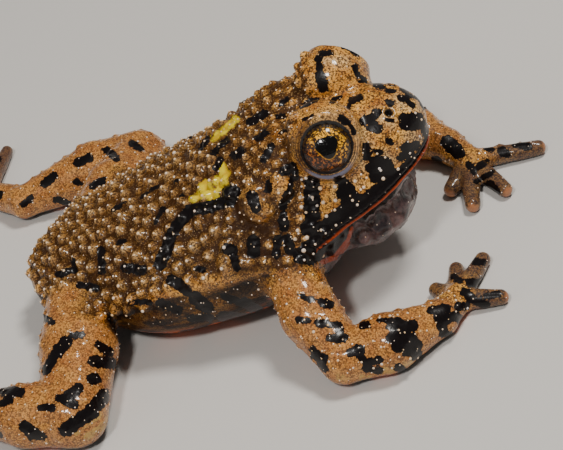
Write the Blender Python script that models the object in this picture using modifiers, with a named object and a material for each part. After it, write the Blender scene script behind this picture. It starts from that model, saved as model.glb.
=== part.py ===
# Fire-bellied toad, life size, at rest.
# The toad lies on its belly and forearms with its head raised, its hind legs spread to the sides
# and its fingers turned inward. +X is the way it faces, +Y is its left, +Z is up.
#
# The soft body is one smooth form, worked out from named ellipsoids and tapered bones. A blank of
# simple solids gives it a mesh, the vertices are settled on the smooth form, warts are raised on
# it, and thin cuts part it into head, throat, torso and the sections of each leg.
#
# The tables below are in millimetres. Meshes are in metres.

import math

import bmesh
import bpy
import numpy as np
from mathutils import Matrix, Vector

MM = 0.001

# Gap between pieces, size of the blank's cells, number of triangles of the flesh, and the angle in
# degrees above which an edge is drawn sharp
GAP = 0.3
CELL = 0.46
FLESH_TRIANGLES = 9800
SHARP_ANGLE = 50.0
SEED = 7

# Sides of the round solids in the blank, and how far the blank's vertices are evened before each
# step onto the smooth form
BLANK_SIDES = 32
BONE_SIDES = 16
SETTLING = (0.5, 0.5, 0.4, 0.3, 0.2, 0.0, 0.0)
FLATTEST_SLOPE = 0.05
SLOPE_STEP = 0.02

# Eyes: place of the right one with y turned outward, radius of the ball and of the lids over it,
# the way the eye looks, and the half angle of the opening between the lids
EYE_PLACE = (2.3, 4.35, 15.85)
EYE_RADIUS = 2.1
LID_RADIUS = 2.85
EYE_GAZE = (0.28, 0.86, 0.42)
EYE_OPENING = 58.0
EYE_SIDES = 20
EYE_RINGS = 12
# The opening's cone goes from inside the ball to beyond the lids, as shares of the socket's radius
OPENING_REACH = (0.35, 1.7)
OPENING_SIDES = 24

# Mouth: height of its line where x is 0, its rise for each millimetre forward, the centre of its
# arc, the half sizes of the arc, the angle of its corners and how far the slit goes in and out
MOUTH_HEIGHT = 8.8
MOUTH_RISE = 0.32
MOUTH_CENTRE_X = -1.7
MOUTH_REACH = (10.7, 7.5)
MOUTH_CORNER = 80.0
MOUTH_DEPTH = 0.9
MOUTH_OUTSIDE = 2.5
MOUTH_STEPS = 20
LIP_HEIGHT = 0.16
LIP_WIDTH = 0.8

NOSTRIL_PLACE = (7.4, 1.75, 16.0)
NOSTRIL_RADIUS = 0.32

# Ellipsoids: name, centre, half sizes ahead, aside, above and below, pitch in degrees with the
# nose up, softness of the join. Those with y above 0 stand on both sides.
HEAD_FORMS = [
    ("upper_head", (-1.7, 0.0, 8.6), (11.0, 7.5, 6.9, 1.5), 16.0, 0.0),
    ("snout", (4.6, 0.0, 13.3), (5.2, 4.2, 3.5, 3.2), 8.0, 1.5),
    ("cheek", (-1.2, 3.4, 8.6), (3.6, 4.1, 3.0, 2.8), 14.0, 1.2),
    ("lower_jaw", (1.1, 0.0, 8.5), (6.7, 5.9, 1.8, 2.2), 16.0, 0.5),
    ("nape_swelling", (-2.2, 2.9, 13.9), (3.8, 3.4, 3.0, 3.0), 25.0, 1.5),
    ("brow", (2.1, 3.5, 16.5), (3.0, 2.6, 2.7, 2.6), 0.0, 0.8),
]
TRUNK_FORMS = [
    ("chest", (-5.5, 0.0, 7.6), (8.0, 8.8, 6.8, 6.8), 22.0, 0.0),
    ("belly", (-13.0, 0.0, 5.4), (11.0, 9.7, 6.4, 6.4), 10.0, 4.0),
    ("rump", (-22.0, 0.0, 4.4), (6.6, 5.6, 4.2, 4.2), 8.0, 3.0),
]
THROAT_FORMS = [
    ("throat", (2.4, 0.0, 6.3), (4.5, 4.2, 3.3, 3.3), 14.0, 0.8),
    ("rear_lobe", (2.3, 3.7, 5.9), (1.1, 1.1, 1.0, 1.0), 0.0, 0.2),
    ("middle_lobe", (3.9, 3.4, 6.1), (1.0, 1.1, 1.1, 1.1), 0.0, 0.2),
    ("front_lobe", (4.7, 1.9, 6.9), (2.0, 1.8, 1.7, 1.9), 14.0, 0.3),
]
LID_SOFTNESS = 0.9
NECK_SOFTNESS = 3.0
LIMB_ROOT_SOFTNESS = 1.0
LIMB_SOFTNESS = 0.4

# The ridge along each side, where the warty back ends: x and height along it, how far it stands
# out, half its width, and the length over which it fades at both ends
RIDGE = [(-21.0, 5.0), (-19.5, 5.7), (-14.0, 7.4), (-11.5, 7.6), (-4.5, 8.3), (-1.6, 8.1)]
RIDGE_HEIGHT = 0.35
RIDGE_WIDTH = 0.7
RIDGE_FADE = 2.5

# Limbs: joints with the radius of the flesh there. y is counted outward from the middle.
ARM_JOINTS = {
    "right": [
        ("shoulder", (-3.4, 7.2, 6.6), 2.3),
        ("upper_arm", (-1.7, 11.2, 4.2), 2.45),
        ("elbow", (0.9, 14.6, 2.15), 2.1),
        ("forearm", (4.5, 13.7, 2.2), 2.45),
        ("wrist", (8.4, 10.9, 1.5), 1.5),
        ("palm", (9.6, 8.4, 1.0), 1.25),
    ],
    "left": [
        ("shoulder", (-3.4, 7.2, 6.6), 2.3),
        ("upper_arm", (-1.7, 11.3, 4.2), 2.45),
        ("elbow", (1.0, 14.8, 2.15), 2.1),
        ("forearm", (4.3, 13.9, 2.2), 2.45),
        ("wrist", (7.8, 11.6, 1.5), 1.5),
        ("palm", (9.8, 9.6, 1.0), 1.25),
    ],
}
LEG_JOINTS = {
    "right": [
        ("hip", (-23.4, 3.6, 4.6), 2.6),
        ("thigh", (-22.4, 10.5, 3.6), 3.3),
        ("knee", (-21.9, 17.3, 2.7), 2.75),
        ("calf", (-26.3, 16.6, 2.6), 2.65),
        ("ankle", (-33.2, 13.9, 1.7), 1.5),
        ("tarsus", (-38.1, 16.7, 1.1), 1.2),
    ],
    "left": [
        ("hip", (-23.4, 3.6, 4.6), 2.6),
        ("thigh", (-22.3, 10.0, 3.6), 3.2),
        ("knee", (-21.6, 15.9, 2.6), 2.65),
        ("calf", (-26.0, 15.7, 2.5), 2.55),
        ("ankle", (-33.1, 13.6, 1.7), 1.5),
        ("tarsus", (-38.1, 16.7, 1.1), 1.2),
    ],
}
FINGER_TIPS = {
    "right": [(7.7, 6.4), (9.3, 4.3), (11.5, 3.5), (13.2, 8.5)],
    "left": [(8.3, 6.4), (10.3, 3.9), (13.1, 5.2), (15.9, 10.2)],
}
FINGER_RADII = (0.95, 0.68)
TOE_TIPS = [(-37.5, 23.5), (-42.1, 25.2), (-47.3, 23.4), (-50.6, 19.2), (-46.7, 14.2)]
TOE_RADII = (0.95, 0.6)
WEB_REACH = 0.72
WEB_HALF_THICKNESS = 0.28
WEB_LIFT = 0.1

# Warts: smallest and largest radius and the room round each one, by zone; their height for each
# radius and the roundness of the dome
WART_ZONES = {
    "nape": (0.62, 0.95, 1.15),
    "back": (0.5, 0.8, 1.25),
    "limb": (0.42, 0.6, 1.9),
}
WART_HEIGHT = 0.66
WART_ROUNDNESS = 0.7
# Where the zones end: y and x are limits, the last two are how far up the skin must face
WART_FREE_RIM = 0.5
LOWEST_WART = 2.2
FACE_BEGINS_X = 1.0
NAPE_BEGINS_X = -6.5
LIMB_BEGINS_Y = 9.4
THIGH_ENDS_X = -21.0
THIGH_BEGINS_Y = 6.0
FOOT_BEGINS_X = -34.0
LIMB_FACES_UP = 0.15
BACK_FACES_UP = 0.05

# Cuts: how far along the upper arm the first one stands; place and direction of those at the hip
# and neck; the jaw's, by its x and how far it stands under the mouth; half the width of each
SHOULDER_CUT_ALONG = 3.4
HIP_CUT = ((-22.5, 6.7, 3.6), (-0.45, 0.88, -0.1))
NECK_CUT = ((-3.2, 0.0, 10.4), (0.81, 0.0, 0.58))
JAW_CUT_X = 2.0
JAW_CUT_UNDER_MOUTH = 2.5
CUT_REACH = {
    "shoulder": 3.9,
    "elbow": 4.4,
    "wrist": 2.8,
    "hip": 5.2,
    "knee": 5.6,
    "ankle": 4.2,
    "neck": 16.0,
    "jaw": 16.0,
}

# Colour and roughness of each material
MATERIALS = {
    "back_skin": ((0.30, 0.17, 0.07), 0.35),
    "limb_skin": ((0.36, 0.19, 0.07), 0.35),
    "throat_skin": ((0.09, 0.07, 0.07), 0.30),
    "eye": ((0.32, 0.17, 0.03), 0.08),
}


def mirrored(place, side):
    """Turn a place given with y outward into one on the left (side 1) or the right (side -1)."""
    return np.array([place[0], place[1] * side, place[2]], dtype=float)


def unit(vector):
    vector = np.array(vector, dtype=float)
    return vector / np.linalg.norm(vector)


# The smooth form of the body: each function gives the distance of points from a surface

def ball_distance(points, centre, radius):
    return np.linalg.norm(points - centre, axis=1) - radius


def bone_distance(points, start, end, start_radius, end_radius):
    along = end - start
    share = np.clip((points - start) @ along / (along @ along), 0.0, 1.0)
    nearest = start + share[:, None] * along
    return np.linalg.norm(points - nearest, axis=1) - (start_radius + (end_radius - start_radius) * share)


def ellipsoid_distance(points, centre, half_sizes, pitch):
    turn = math.radians(pitch)
    local = points - np.array(centre)
    ahead = local[:, 0] * math.cos(turn) + local[:, 2] * math.sin(turn)
    above = local[:, 2] * math.cos(turn) - local[:, 0] * math.sin(turn)
    local = np.stack([ahead, local[:, 1], above], axis=1)
    sizes = np.tile(np.array(half_sizes[:3]), (len(points), 1))
    sizes[above < 0.0, 2] = half_sizes[3]
    near = np.linalg.norm(local / sizes, axis=1)
    slope = np.linalg.norm(local / sizes ** 2, axis=1)
    return near * (near - 1.0) / np.maximum(slope, 1e-9)


def sheet_distance(points, corners, half_thickness):
    """Distance from a flat triangular sheet."""
    a, b, c = corners
    normal = unit(np.cross(b - a, c - a))
    inside = np.ones(len(points), dtype=bool)
    edges = np.full(len(points), np.inf)
    for start, end in ((a, b), (b, c), (c, a)):
        along = end - start
        inside &= (points - start) @ np.cross(normal, along) >= 0.0
        share = np.clip((points - start) @ along / (along @ along), 0.0, 1.0)
        edges = np.minimum(edges, np.linalg.norm(points - (start + share[:, None] * along), axis=1))
    return np.where(inside, np.abs((points - a) @ normal), edges) - half_thickness


def blend(first, second, softness):
    """Join two forms with a soft valley between them."""
    share = np.clip(0.5 + 0.5 * (second - first) / softness, 0.0, 1.0)
    return second + (first - second) * share - softness * share * (1.0 - share)


def digits(side, root, tips, radii):
    """Bones of the fingers or toes, which lie on the floor."""
    bones = []
    for x, y in tips:
        bones.append((root, mirrored((x, y, radii[1]), side), radii[0], radii[1]))
    return bones


def side_name(side):
    return "left" if side > 0 else "right"


def chain_bones(side, joints):
    bones = []
    for (_, start, start_radius), (_, end, end_radius) in zip(joints, joints[1:]):
        bones.append((mirrored(start, side), mirrored(end, side), start_radius, end_radius))
    return bones


def arm_bones(side):
    joints = ARM_JOINTS[side_name(side)]
    palm = mirrored(joints[-1][1], side)
    return chain_bones(side, joints) + digits(side, palm, FINGER_TIPS[side_name(side)], FINGER_RADII)


def leg_bones(side):
    joints = LEG_JOINTS[side_name(side)]
    tarsus = mirrored(joints[-1][1], side)
    return chain_bones(side, joints) + digits(side, tarsus, TOE_TIPS, TOE_RADII)


def toe_webs(side):
    """Triangular sheets of skin between neighbouring toes."""
    root = mirrored(LEG_JOINTS[side_name(side)][-1][1], side)
    root[2] = WEB_HALF_THICKNESS + WEB_LIFT
    webs = []
    for near, far in zip(TOE_TIPS, TOE_TIPS[1:]):
        ends = []
        for x, y in (near, far):
            tip = mirrored((x, y, root[2]), side)
            ends.append(root + (tip - root) * WEB_REACH)
        webs.append((root, ends[0], ends[1]))
    return webs


def limb_distance(points, bones, sheets):
    field = None
    for start, end, start_radius, end_radius in bones:
        bone = bone_distance(points, start, end, start_radius, end_radius)
        field = bone if field is None else blend(field, bone, LIMB_SOFTNESS)
    for corners in sheets:
        field = blend(field, sheet_distance(points, corners, WEB_HALF_THICKNESS), LIMB_SOFTNESS)
    return field


def with_forms(field, points, forms):
    """Blend ellipsoids into a form, which may be empty at first."""
    for _, centre, half_sizes, pitch, softness in forms:
        form = ellipsoid_distance(points, centre, half_sizes, pitch)
        field = form if field is None else blend(field, form, softness)
    return field


def head_distance(points):
    field = with_forms(None, points, HEAD_FORMS)
    field = blend(field, ball_distance(points, np.array(EYE_PLACE), LID_RADIUS), LID_SOFTNESS)
    above_mouth = points[:, 2] - (MOUTH_HEIGHT + MOUTH_RISE * points[:, 0])
    return field - LIP_HEIGHT * np.exp(-(above_mouth / LIP_WIDTH) ** 2)


def above_ridge(points):
    """Height of points above the ridge along the body's side."""
    xs, heights = zip(*RIDGE)
    return points[:, 2] - np.interp(points[:, 0], xs, heights)


def ridge_relief(points):
    ahead = (points[:, 0] - RIDGE[0][0]) / RIDGE_FADE
    behind = (RIDGE[-1][0] - points[:, 0]) / RIDGE_FADE
    share = np.clip(np.minimum(ahead, behind), 0.0, 1.0)
    return RIDGE_HEIGHT * share * np.exp(-(above_ridge(points) / RIDGE_WIDTH) ** 2)


def body_distance(points):
    folded = points.copy()
    folded[:, 1] = np.abs(folded[:, 1])
    field = blend(head_distance(folded), with_forms(None, folded, TRUNK_FORMS), NECK_SOFTNESS)
    field = with_forms(field - ridge_relief(folded), folded, THROAT_FORMS)
    for side in (-1, 1):
        field = blend(field, limb_distance(points, arm_bones(side), []), LIMB_ROOT_SOFTNESS)
        field = blend(field, limb_distance(points, leg_bones(side), toe_webs(side)), LIMB_ROOT_SOFTNESS)
    return np.maximum(field, -points[:, 2])


def body_slope(points):
    """Direction in which the distance from the body grows fastest."""
    slope = np.zeros_like(points)
    for axis in range(3):
        shift = np.zeros(3)
        shift[axis] = SLOPE_STEP
        rise = body_distance(points + shift) - body_distance(points - shift)
        slope[:, axis] = rise / (2.0 * SLOPE_STEP)
    return slope


# The mesh of the body

def add_solid(mesh, make, place, **sizes):
    """Add one simple solid, made by itself first so that it stays apart from the others."""
    solid = bmesh.new()
    make(solid, matrix=place, **sizes)
    data = bpy.data.meshes.new("solid")
    solid.to_mesh(data)
    solid.free()
    mesh.from_mesh(data)
    bpy.data.meshes.remove(data)


def add_ellipsoid(mesh, centre, half_sizes, pitch):
    place = Matrix.Translation(Vector(centre)) @ Matrix.Rotation(math.radians(-pitch), 4, "Y")
    size = Matrix.Diagonal(Vector((*half_sizes[:3], 1.0)))
    add_solid(mesh, bmesh.ops.create_uvsphere, place @ size, u_segments=BLANK_SIDES,
              v_segments=BLANK_SIDES // 2, radius=1.0)


def add_bone(mesh, start, end, start_radius, end_radius):
    along = Vector(end - start)
    turn = along.to_track_quat("Z", "Y").to_matrix().to_4x4()
    place = Matrix.Translation(Vector((start + end) / 2.0)) @ turn
    add_solid(mesh, bmesh.ops.create_cone, place, cap_ends=True, segments=BONE_SIDES,
              radius1=start_radius, radius2=end_radius, depth=along.length)
    for centre, radius in ((start, start_radius), (end, end_radius)):
        add_ellipsoid(mesh, centre, (radius, radius, radius), 0.0)


def add_sheet(mesh, corners, half_thickness):
    """A triangular plate, as a three-sided prism."""
    levels = []
    for height in (-half_thickness, half_thickness):
        levels.append([mesh.verts.new((c[0], c[1], c[2] + height)) for c in corners])
    bottom, top = levels
    mesh.faces.new(bottom)
    mesh.faces.new(top)
    for i in range(3):
        j = (i + 1) % 3
        mesh.faces.new((bottom[i], bottom[j], top[j], top[i]))


def body_blank():
    """Overlapping simple solids that fill the body, still apart from each other."""
    mesh = bmesh.new()
    for _, centre, half_sizes, pitch, _ in HEAD_FORMS + TRUNK_FORMS + THROAT_FORMS:
        for side in ((-1, 1) if centre[1] else (1,)):
            add_ellipsoid(mesh, mirrored(centre, side), half_sizes, pitch)
    for side in (-1, 1):
        add_ellipsoid(mesh, mirrored(EYE_PLACE, side), (LID_RADIUS,) * 3, 0.0)
        for bone in arm_bones(side) + leg_bones(side):
            add_bone(mesh, *bone)
        for corners in toe_webs(side):
            add_sheet(mesh, corners, CELL)
    bmesh.ops.recalc_face_normals(mesh, faces=mesh.faces)
    return mesh


def object_from_bmesh(name, mesh, collection):
    data = bpy.data.meshes.new(name)
    mesh.to_mesh(data)
    mesh.free()
    item = bpy.data.objects.new(name, data)
    collection.objects.link(item)
    return item


def apply_modifiers(item):
    """Keep what the object's modifiers make as its own mesh."""
    graph = bpy.context.evaluated_depsgraph_get()
    data = bpy.data.meshes.new_from_object(item.evaluated_get(graph))
    old = item.data
    item.modifiers.clear()
    item.data = data
    bpy.data.meshes.remove(old)


def remesh(item, cell):
    modifier = item.modifiers.new("Cells", "REMESH")
    modifier.mode = "VOXEL"
    modifier.voxel_size = cell
    modifier.adaptivity = 0.0
    apply_modifiers(item)


def mesh_points(data):
    points = np.empty(len(data.vertices) * 3, dtype=np.float32)
    data.vertices.foreach_get("co", points)
    return points.reshape(-1, 3).astype(float)


def mesh_edges(data):
    edges = np.empty(len(data.edges) * 2, dtype=np.int32)
    data.edges.foreach_get("vertices", edges)
    return edges.reshape(-1, 2)


def evened(points, edges, share):
    """Move each vertex part of the way to the middle of its neighbours."""
    total = np.zeros_like(points)
    count = np.zeros(len(points))
    for a, b in ((0, 1), (1, 0)):
        np.add.at(total, edges[:, a], points[edges[:, b]])
        np.add.at(count, edges[:, a], 1.0)
    return points * (1.0 - share) + total / count[:, None] * share


def settled(points, edges):
    """Bring the blank's vertices onto the smooth form of the body."""
    for share in SETTLING:
        if share:
            points = evened(points, edges, share)
        distance = body_distance(points)
        slope = body_slope(points)
        steep = np.maximum((slope ** 2).sum(axis=1), FLATTEST_SLOPE)
        step = np.clip(distance / steep, -CELL, CELL)
        points = points - step[:, None] * slope
    points[:, 2] = np.maximum(points[:, 2], 0.0)
    return points


def wart_zone(place, faces_up, under_ridge):
    """The zone that a place on the skin belongs to, or none where the skin is smooth."""
    x, y, z = place[0], abs(place[1]), place[2]
    from_eye = np.linalg.norm(np.array([x, y, z]) - np.array(EYE_PLACE))
    if from_eye < LID_RADIUS + WART_FREE_RIM or z < LOWEST_WART:
        return None
    on_thigh = x < THIGH_ENDS_X and y > THIGH_BEGINS_Y
    if y > LIMB_BEGINS_Y or on_thigh:
        return "limb" if faces_up > LIMB_FACES_UP and x > FOOT_BEGINS_X else None
    if x > FACE_BEGINS_X or under_ridge or faces_up < BACK_FACES_UP:
        return None
    return "nape" if x > NAPE_BEGINS_X else "back"


def scattered_warts(points, normals):
    """Place and radius of each wart, spread over the skin with room round each."""
    draw = np.random.default_rng(SEED)
    under_ridge = above_ridge(points) < 0.0
    warts = []
    for index in draw.permutation(len(points)):
        zone = wart_zone(points[index], normals[index][2], under_ridge[index])
        if zone is None:
            continue
        smallest, largest, room = WART_ZONES[zone]
        radius = draw.uniform(smallest, largest)
        if warts:
            places = np.array([place for place, _ in warts])
            radii = np.array([size for _, size in warts])
            if (np.linalg.norm(places - points[index], axis=1) < (radii + radius) * room).any():
                continue
        warts.append((points[index], radius))
    return warts


def with_warts(points):
    normals = body_slope(points)
    normals /= np.maximum(np.linalg.norm(normals, axis=1), 1e-6)[:, None]
    height = np.zeros(len(points))
    for place, radius in scattered_warts(points, normals):
        away = np.linalg.norm(points - place, axis=1) / radius
        dome = np.clip(1.0 - away ** 2, 0.0, 1.0) ** WART_ROUNDNESS * radius * WART_HEIGHT
        height = np.maximum(height, dome)
    return points + normals * height[:, None]


def thin_out(item, triangles):
    item.modifiers.new("Triangles", "TRIANGULATE")
    apply_modifiers(item)
    modifier = item.modifiers.new("Fewer faces", "DECIMATE")
    modifier.ratio = triangles / len(item.data.polygons)
    apply_modifiers(item)


def make_flesh(collection):
    flesh = object_from_bmesh("flesh", body_blank(), collection)
    remesh(flesh, CELL)
    points = settled(mesh_points(flesh.data), mesh_edges(flesh.data))
    points = with_warts(points)
    flesh.data.vertices.foreach_set("co", (points * MM).astype(np.float32).ravel())
    flesh.data.update()
    thin_out(flesh, FLESH_TRIANGLES)
    return flesh


# Cuts

def cutter_from_bmesh(name, mesh, cutters):
    bmesh.ops.transform(mesh, matrix=Matrix.Scale(MM, 4), verts=mesh.verts)
    bmesh.ops.recalc_face_normals(mesh, faces=mesh.faces)
    cutter = object_from_bmesh(name, mesh, cutters)
    cutter.hide_render = True
    cutter.display_type = "WIRE"
    return cutter


def cut(item, cutter, solver="EXACT"):
    modifier = item.modifiers.new("Cut", "BOOLEAN")
    modifier.operation = "DIFFERENCE"
    modifier.solver = solver
    modifier.object = cutter
    apply_modifiers(item)


def closed_pieces(item):
    """The item's separate closed surfaces, each as a set of face indices, the largest first."""
    mesh = bmesh.new()
    mesh.from_mesh(item.data)
    mesh.faces.ensure_lookup_table()
    left = set(range(len(mesh.faces)))
    pieces = []
    while left:
        stack = [left.pop()]
        piece = set(stack)
        while stack:
            for edge in mesh.faces[stack.pop()].edges:
                for face in edge.link_faces:
                    if face.index in left:
                        left.remove(face.index)
                        piece.add(face.index)
                        stack.append(face.index)
        pieces.append(piece)
    mesh.free()
    return sorted(pieces, key=len, reverse=True)


def copy_of_piece(item, faces, name, collection):
    mesh = bmesh.new()
    mesh.from_mesh(item.data)
    mesh.faces.ensure_lookup_table()
    spare = [face for face in mesh.faces if face.index not in faces]
    bmesh.ops.delete(mesh, geom=spare, context="FACES")
    return object_from_bmesh(name, mesh, collection)


def middle(item):
    return mesh_points(item.data).mean(axis=0) / MM


def slab(name, place, direction, reach, cutters):
    """A square plate one gap thick, across the direction."""
    mesh = bmesh.new()
    turn = Vector(direction).to_track_quat("Z", "Y").to_matrix().to_4x4()
    size = Matrix.Diagonal(Vector((2.0 * reach, 2.0 * reach, GAP, 1.0)))
    bmesh.ops.create_cube(mesh, size=1.0, matrix=Matrix.Translation(Vector(place)) @ turn @ size)
    return cutter_from_bmesh(name, mesh, cutters)


def part_in_two(item, place, direction, joint, near_name, far_name, collection, cutters):
    """Cut an item with a thin slab. The far piece is the one that the direction points to."""
    plate = slab("cut_" + far_name, place, direction, CUT_REACH[joint], cutters)
    whole = item.data.copy()
    for solver in ("EXACT", "MANIFOLD"):
        item.data = whole.copy()
        cut(item, plate, solver)
        pieces = closed_pieces(item)
        if len(pieces) > 1:
            break
    if len(pieces) < 2:
        raise RuntimeError("the cut of " + far_name + " does not go through")
    pair = [copy_of_piece(item, faces, "piece", collection) for faces in pieces[:2]]
    pair.sort(key=lambda piece: float(np.dot(middle(piece) - place, direction)))
    remove_object(item)
    near, far = pair
    near.name = near_name
    far.name = far_name
    return near, far


def remove_object(item):
    data = item.data
    bpy.data.objects.remove(item)
    bpy.data.meshes.remove(data)


def mitre(side, joints, name):
    """Place of a joint and the direction across the bend there."""
    index = [joint[0] for joint in joints].index(name)
    before, place, after = [mirrored(joint[1], side) for joint in joints[index - 1:index + 2]]
    return place, unit(unit(place - before) + unit(after - place))


def part_arm(body, side, collection, cutters):
    label = side_name(side)
    joints = ARM_JOINTS[label]
    shoulder, upper_arm = [mirrored(joint[1], side) for joint in joints[:2]]
    along = unit(upper_arm - shoulder)
    place = shoulder + along * SHOULDER_CUT_ALONG
    body, arm = part_in_two(body, place, along, "shoulder", "body", "upper_arm_" + label,
                            collection, cutters)
    place, direction = mitre(side, joints, "elbow")
    arm, lower = part_in_two(arm, place, direction, "elbow", "upper_arm_" + label,
                             "forearm_" + label, collection, cutters)
    place, direction = mitre(side, joints, "wrist")
    lower, hand = part_in_two(lower, place, direction, "wrist", "forearm_" + label,
                              "hand_" + label, collection, cutters)
    return body, [arm, lower, hand]


def part_leg(body, side, collection, cutters):
    label = side_name(side)
    joints = LEG_JOINTS[label]
    place, outward = [mirrored(values, side) for values in HIP_CUT]
    body, leg = part_in_two(body, place, unit(outward), "hip", "body", "thigh_" + label,
                            collection, cutters)
    place, direction = mitre(side, joints, "knee")
    leg, lower = part_in_two(leg, place, direction, "knee", "thigh_" + label, "shank_" + label,
                             collection, cutters)
    place, direction = mitre(side, joints, "ankle")
    lower, foot = part_in_two(lower, place, direction, "ankle", "shank_" + label,
                              "foot_" + label, collection, cutters)
    return body, [leg, lower, foot]


def part_head(body, collection, cutters):
    place, ahead = NECK_CUT
    torso, head = part_in_two(body, np.array(place), unit(ahead), "neck", "torso", "head",
                              collection, cutters)
    down = unit((MOUTH_RISE, 0.0, -1.0))
    height = MOUTH_HEIGHT + MOUTH_RISE * JAW_CUT_X - JAW_CUT_UNDER_MOUTH
    place = np.array([JAW_CUT_X, 0.0, height])
    head, throat = part_in_two(head, place, down, "jaw", "head", "throat", collection, cutters)
    return [torso, head, throat]


def socket_cutter(side, cutters):
    """The room for the eyeball and the opening between the lids in front of it."""
    mesh = bmesh.new()
    centre = mirrored(EYE_PLACE, side)
    radius = EYE_RADIUS + GAP
    bmesh.ops.create_uvsphere(mesh, u_segments=EYE_SIDES, v_segments=EYE_RINGS, radius=radius,
                              matrix=Matrix.Translation(Vector(centre)))
    ball = cutter_from_bmesh("socket", mesh, cutters)
    mesh = bmesh.new()
    gaze = unit(mirrored(EYE_GAZE, side))
    widening = math.tan(math.radians(EYE_OPENING))
    near_ring, far_ring = [share * radius for share in OPENING_REACH]
    turn = Vector(gaze).to_track_quat("Z", "Y").to_matrix().to_4x4()
    place = Matrix.Translation(Vector(centre + gaze * (near_ring + far_ring) / 2.0)) @ turn
    bmesh.ops.create_cone(mesh, cap_ends=True, segments=OPENING_SIDES, radius1=near_ring * widening,
                          radius2=far_ring * widening, depth=far_ring - near_ring, matrix=place)
    opening = cutter_from_bmesh("lid_opening", mesh, cutters)
    return [ball, opening]


def nostril_cutter(side, cutters):
    mesh = bmesh.new()
    bmesh.ops.create_icosphere(mesh, subdivisions=1, radius=NOSTRIL_RADIUS,
                               matrix=Matrix.Translation(Vector(mirrored(NOSTRIL_PLACE, side))))
    return cutter_from_bmesh("nostril", mesh, cutters)


def mouth_cutter(cutters):
    """A thin curved plate that follows the line of the mouth from corner to corner."""
    mesh = bmesh.new()
    corner = math.radians(MOUTH_CORNER)
    section = ((-MOUTH_DEPTH, -1), (MOUTH_OUTSIDE, -1), (MOUTH_OUTSIDE, 1), (-MOUTH_DEPTH, 1))
    rings = []
    for i in range(MOUTH_STEPS + 1):
        angle = -corner + 2.0 * corner * i / MOUTH_STEPS
        ring = []
        for outward, lift in section:
            x = MOUTH_CENTRE_X + (MOUTH_REACH[0] + outward) * math.cos(angle)
            y = (MOUTH_REACH[1] + outward) * math.sin(angle)
            z = MOUTH_HEIGHT + MOUTH_RISE * x + lift * GAP / 2.0
            ring.append(mesh.verts.new((x, y, z)))
        rings.append(ring)
    for near, far in zip(rings, rings[1:]):
        for i in range(len(section)):
            j = (i + 1) % len(section)
            mesh.faces.new((near[i], near[j], far[j], far[i]))
    mesh.faces.new(rings[0])
    mesh.faces.new(rings[-1])
    bmesh.ops.triangulate(mesh, faces=mesh.faces)
    return cutter_from_bmesh("mouth_line", mesh, cutters)


def cut_head_openings(head, collection, cutters):
    """Cut the eye sockets, nostrils and mouth, and keep the head's largest closed surface."""
    tools = [mouth_cutter(cutters)]
    for side in (-1, 1):
        tools += socket_cutter(side, cutters)
        tools.append(nostril_cutter(side, cutters))
    for tool in tools:
        cut(head, tool)
    whole = copy_of_piece(head, closed_pieces(head)[0], "piece", collection)
    remove_object(head)
    whole.name = "head"
    return whole


def make_eye(side, collection):
    mesh = bmesh.new()
    turn = Vector(unit(mirrored(EYE_GAZE, side))).to_track_quat("Z", "Y").to_matrix().to_4x4()
    place = Matrix.Translation(Vector(mirrored(EYE_PLACE, side)))
    bmesh.ops.create_uvsphere(mesh, u_segments=EYE_SIDES, v_segments=EYE_RINGS, radius=EYE_RADIUS,
                              matrix=place @ turn)
    bmesh.ops.transform(mesh, matrix=Matrix.Scale(MM, 4), verts=mesh.verts)
    return object_from_bmesh("eye_" + side_name(side), mesh, collection)


# Finish

def make_material(name):
    colour, roughness = MATERIALS[name]
    material = bpy.data.materials.new(name)
    material.use_nodes = True
    shader = material.node_tree.nodes["Principled BSDF"]
    shader.inputs["Base Color"].default_value = (*colour, 1.0)
    shader.inputs["Roughness"].default_value = roughness
    shader.inputs["Metallic"].default_value = 0.0
    material.diffuse_color = (*colour, 1.0)
    return material


def material_name(node):
    if node.startswith("eye"):
        return "eye"
    if node == "throat":
        return "throat_skin"
    if node in ("head", "torso"):
        return "back_skin"
    return "limb_skin"


def finish(nodes):
    """Give each node its material and move the toad so that it stands on the origin."""
    materials = {name: make_material(name) for name in MATERIALS}
    corners = np.concatenate([mesh_points(node.data) for node in nodes])
    low = corners.min(axis=0)
    high = corners.max(axis=0)
    shift = Vector((-(low[0] + high[0]) / 2.0, -(low[1] + high[1]) / 2.0, -low[2]))
    for node in nodes:
        node.data.transform(Matrix.Translation(shift))
        node.data.materials.clear()
        node.data.materials.append(materials[material_name(node.name)])
        node.data.shade_smooth()
        node.data.set_sharp_from_angle(angle=math.radians(SHARP_ANGLE))


def new_collection(name):
    collection = bpy.data.collections.new(name)
    bpy.context.scene.collection.children.link(collection)
    return collection


def main():
    for item in list(bpy.data.objects):
        bpy.data.objects.remove(item)
    toad = new_collection("Fire-bellied toad")
    cutters = new_collection("Cutters")
    body = make_flesh(toad)
    nodes = []
    for side in (-1, 1):
        body, arm = part_arm(body, side, toad, cutters)
        body, leg = part_leg(body, side, toad, cutters)
        nodes += arm + leg
    torso, head, throat = part_head(body, toad, cutters)
    nodes += [torso, cut_head_openings(head, toad, cutters), throat]
    nodes += [make_eye(side, toad) for side in (-1, 1)]
    finish(nodes)


main()
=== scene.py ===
# Looks of a fire-bellied toad, life size, lying on its belly and forearms with its head raised.
# One skin goes over all the solids of flesh, with warts, lids, lips and nostrils in its mesh and
# the markings in its material. The eyes and the pale tips of the warts are pieces of their own.
#
# The toad's tables are in millimetres: +X is the way it faces, +Y its left, +Z up, the floor at 0.
# Those with y counted outward serve both sides. FRAME_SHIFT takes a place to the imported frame.

import math

import bmesh
import bpy
import numpy as np
from bpy.props import FloatProperty, FloatVectorProperty, PointerProperty
from mathutils import Matrix, Vector, noise
from mathutils.bvhtree import BVHTree
from mathutils.kdtree import KDTree


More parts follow.
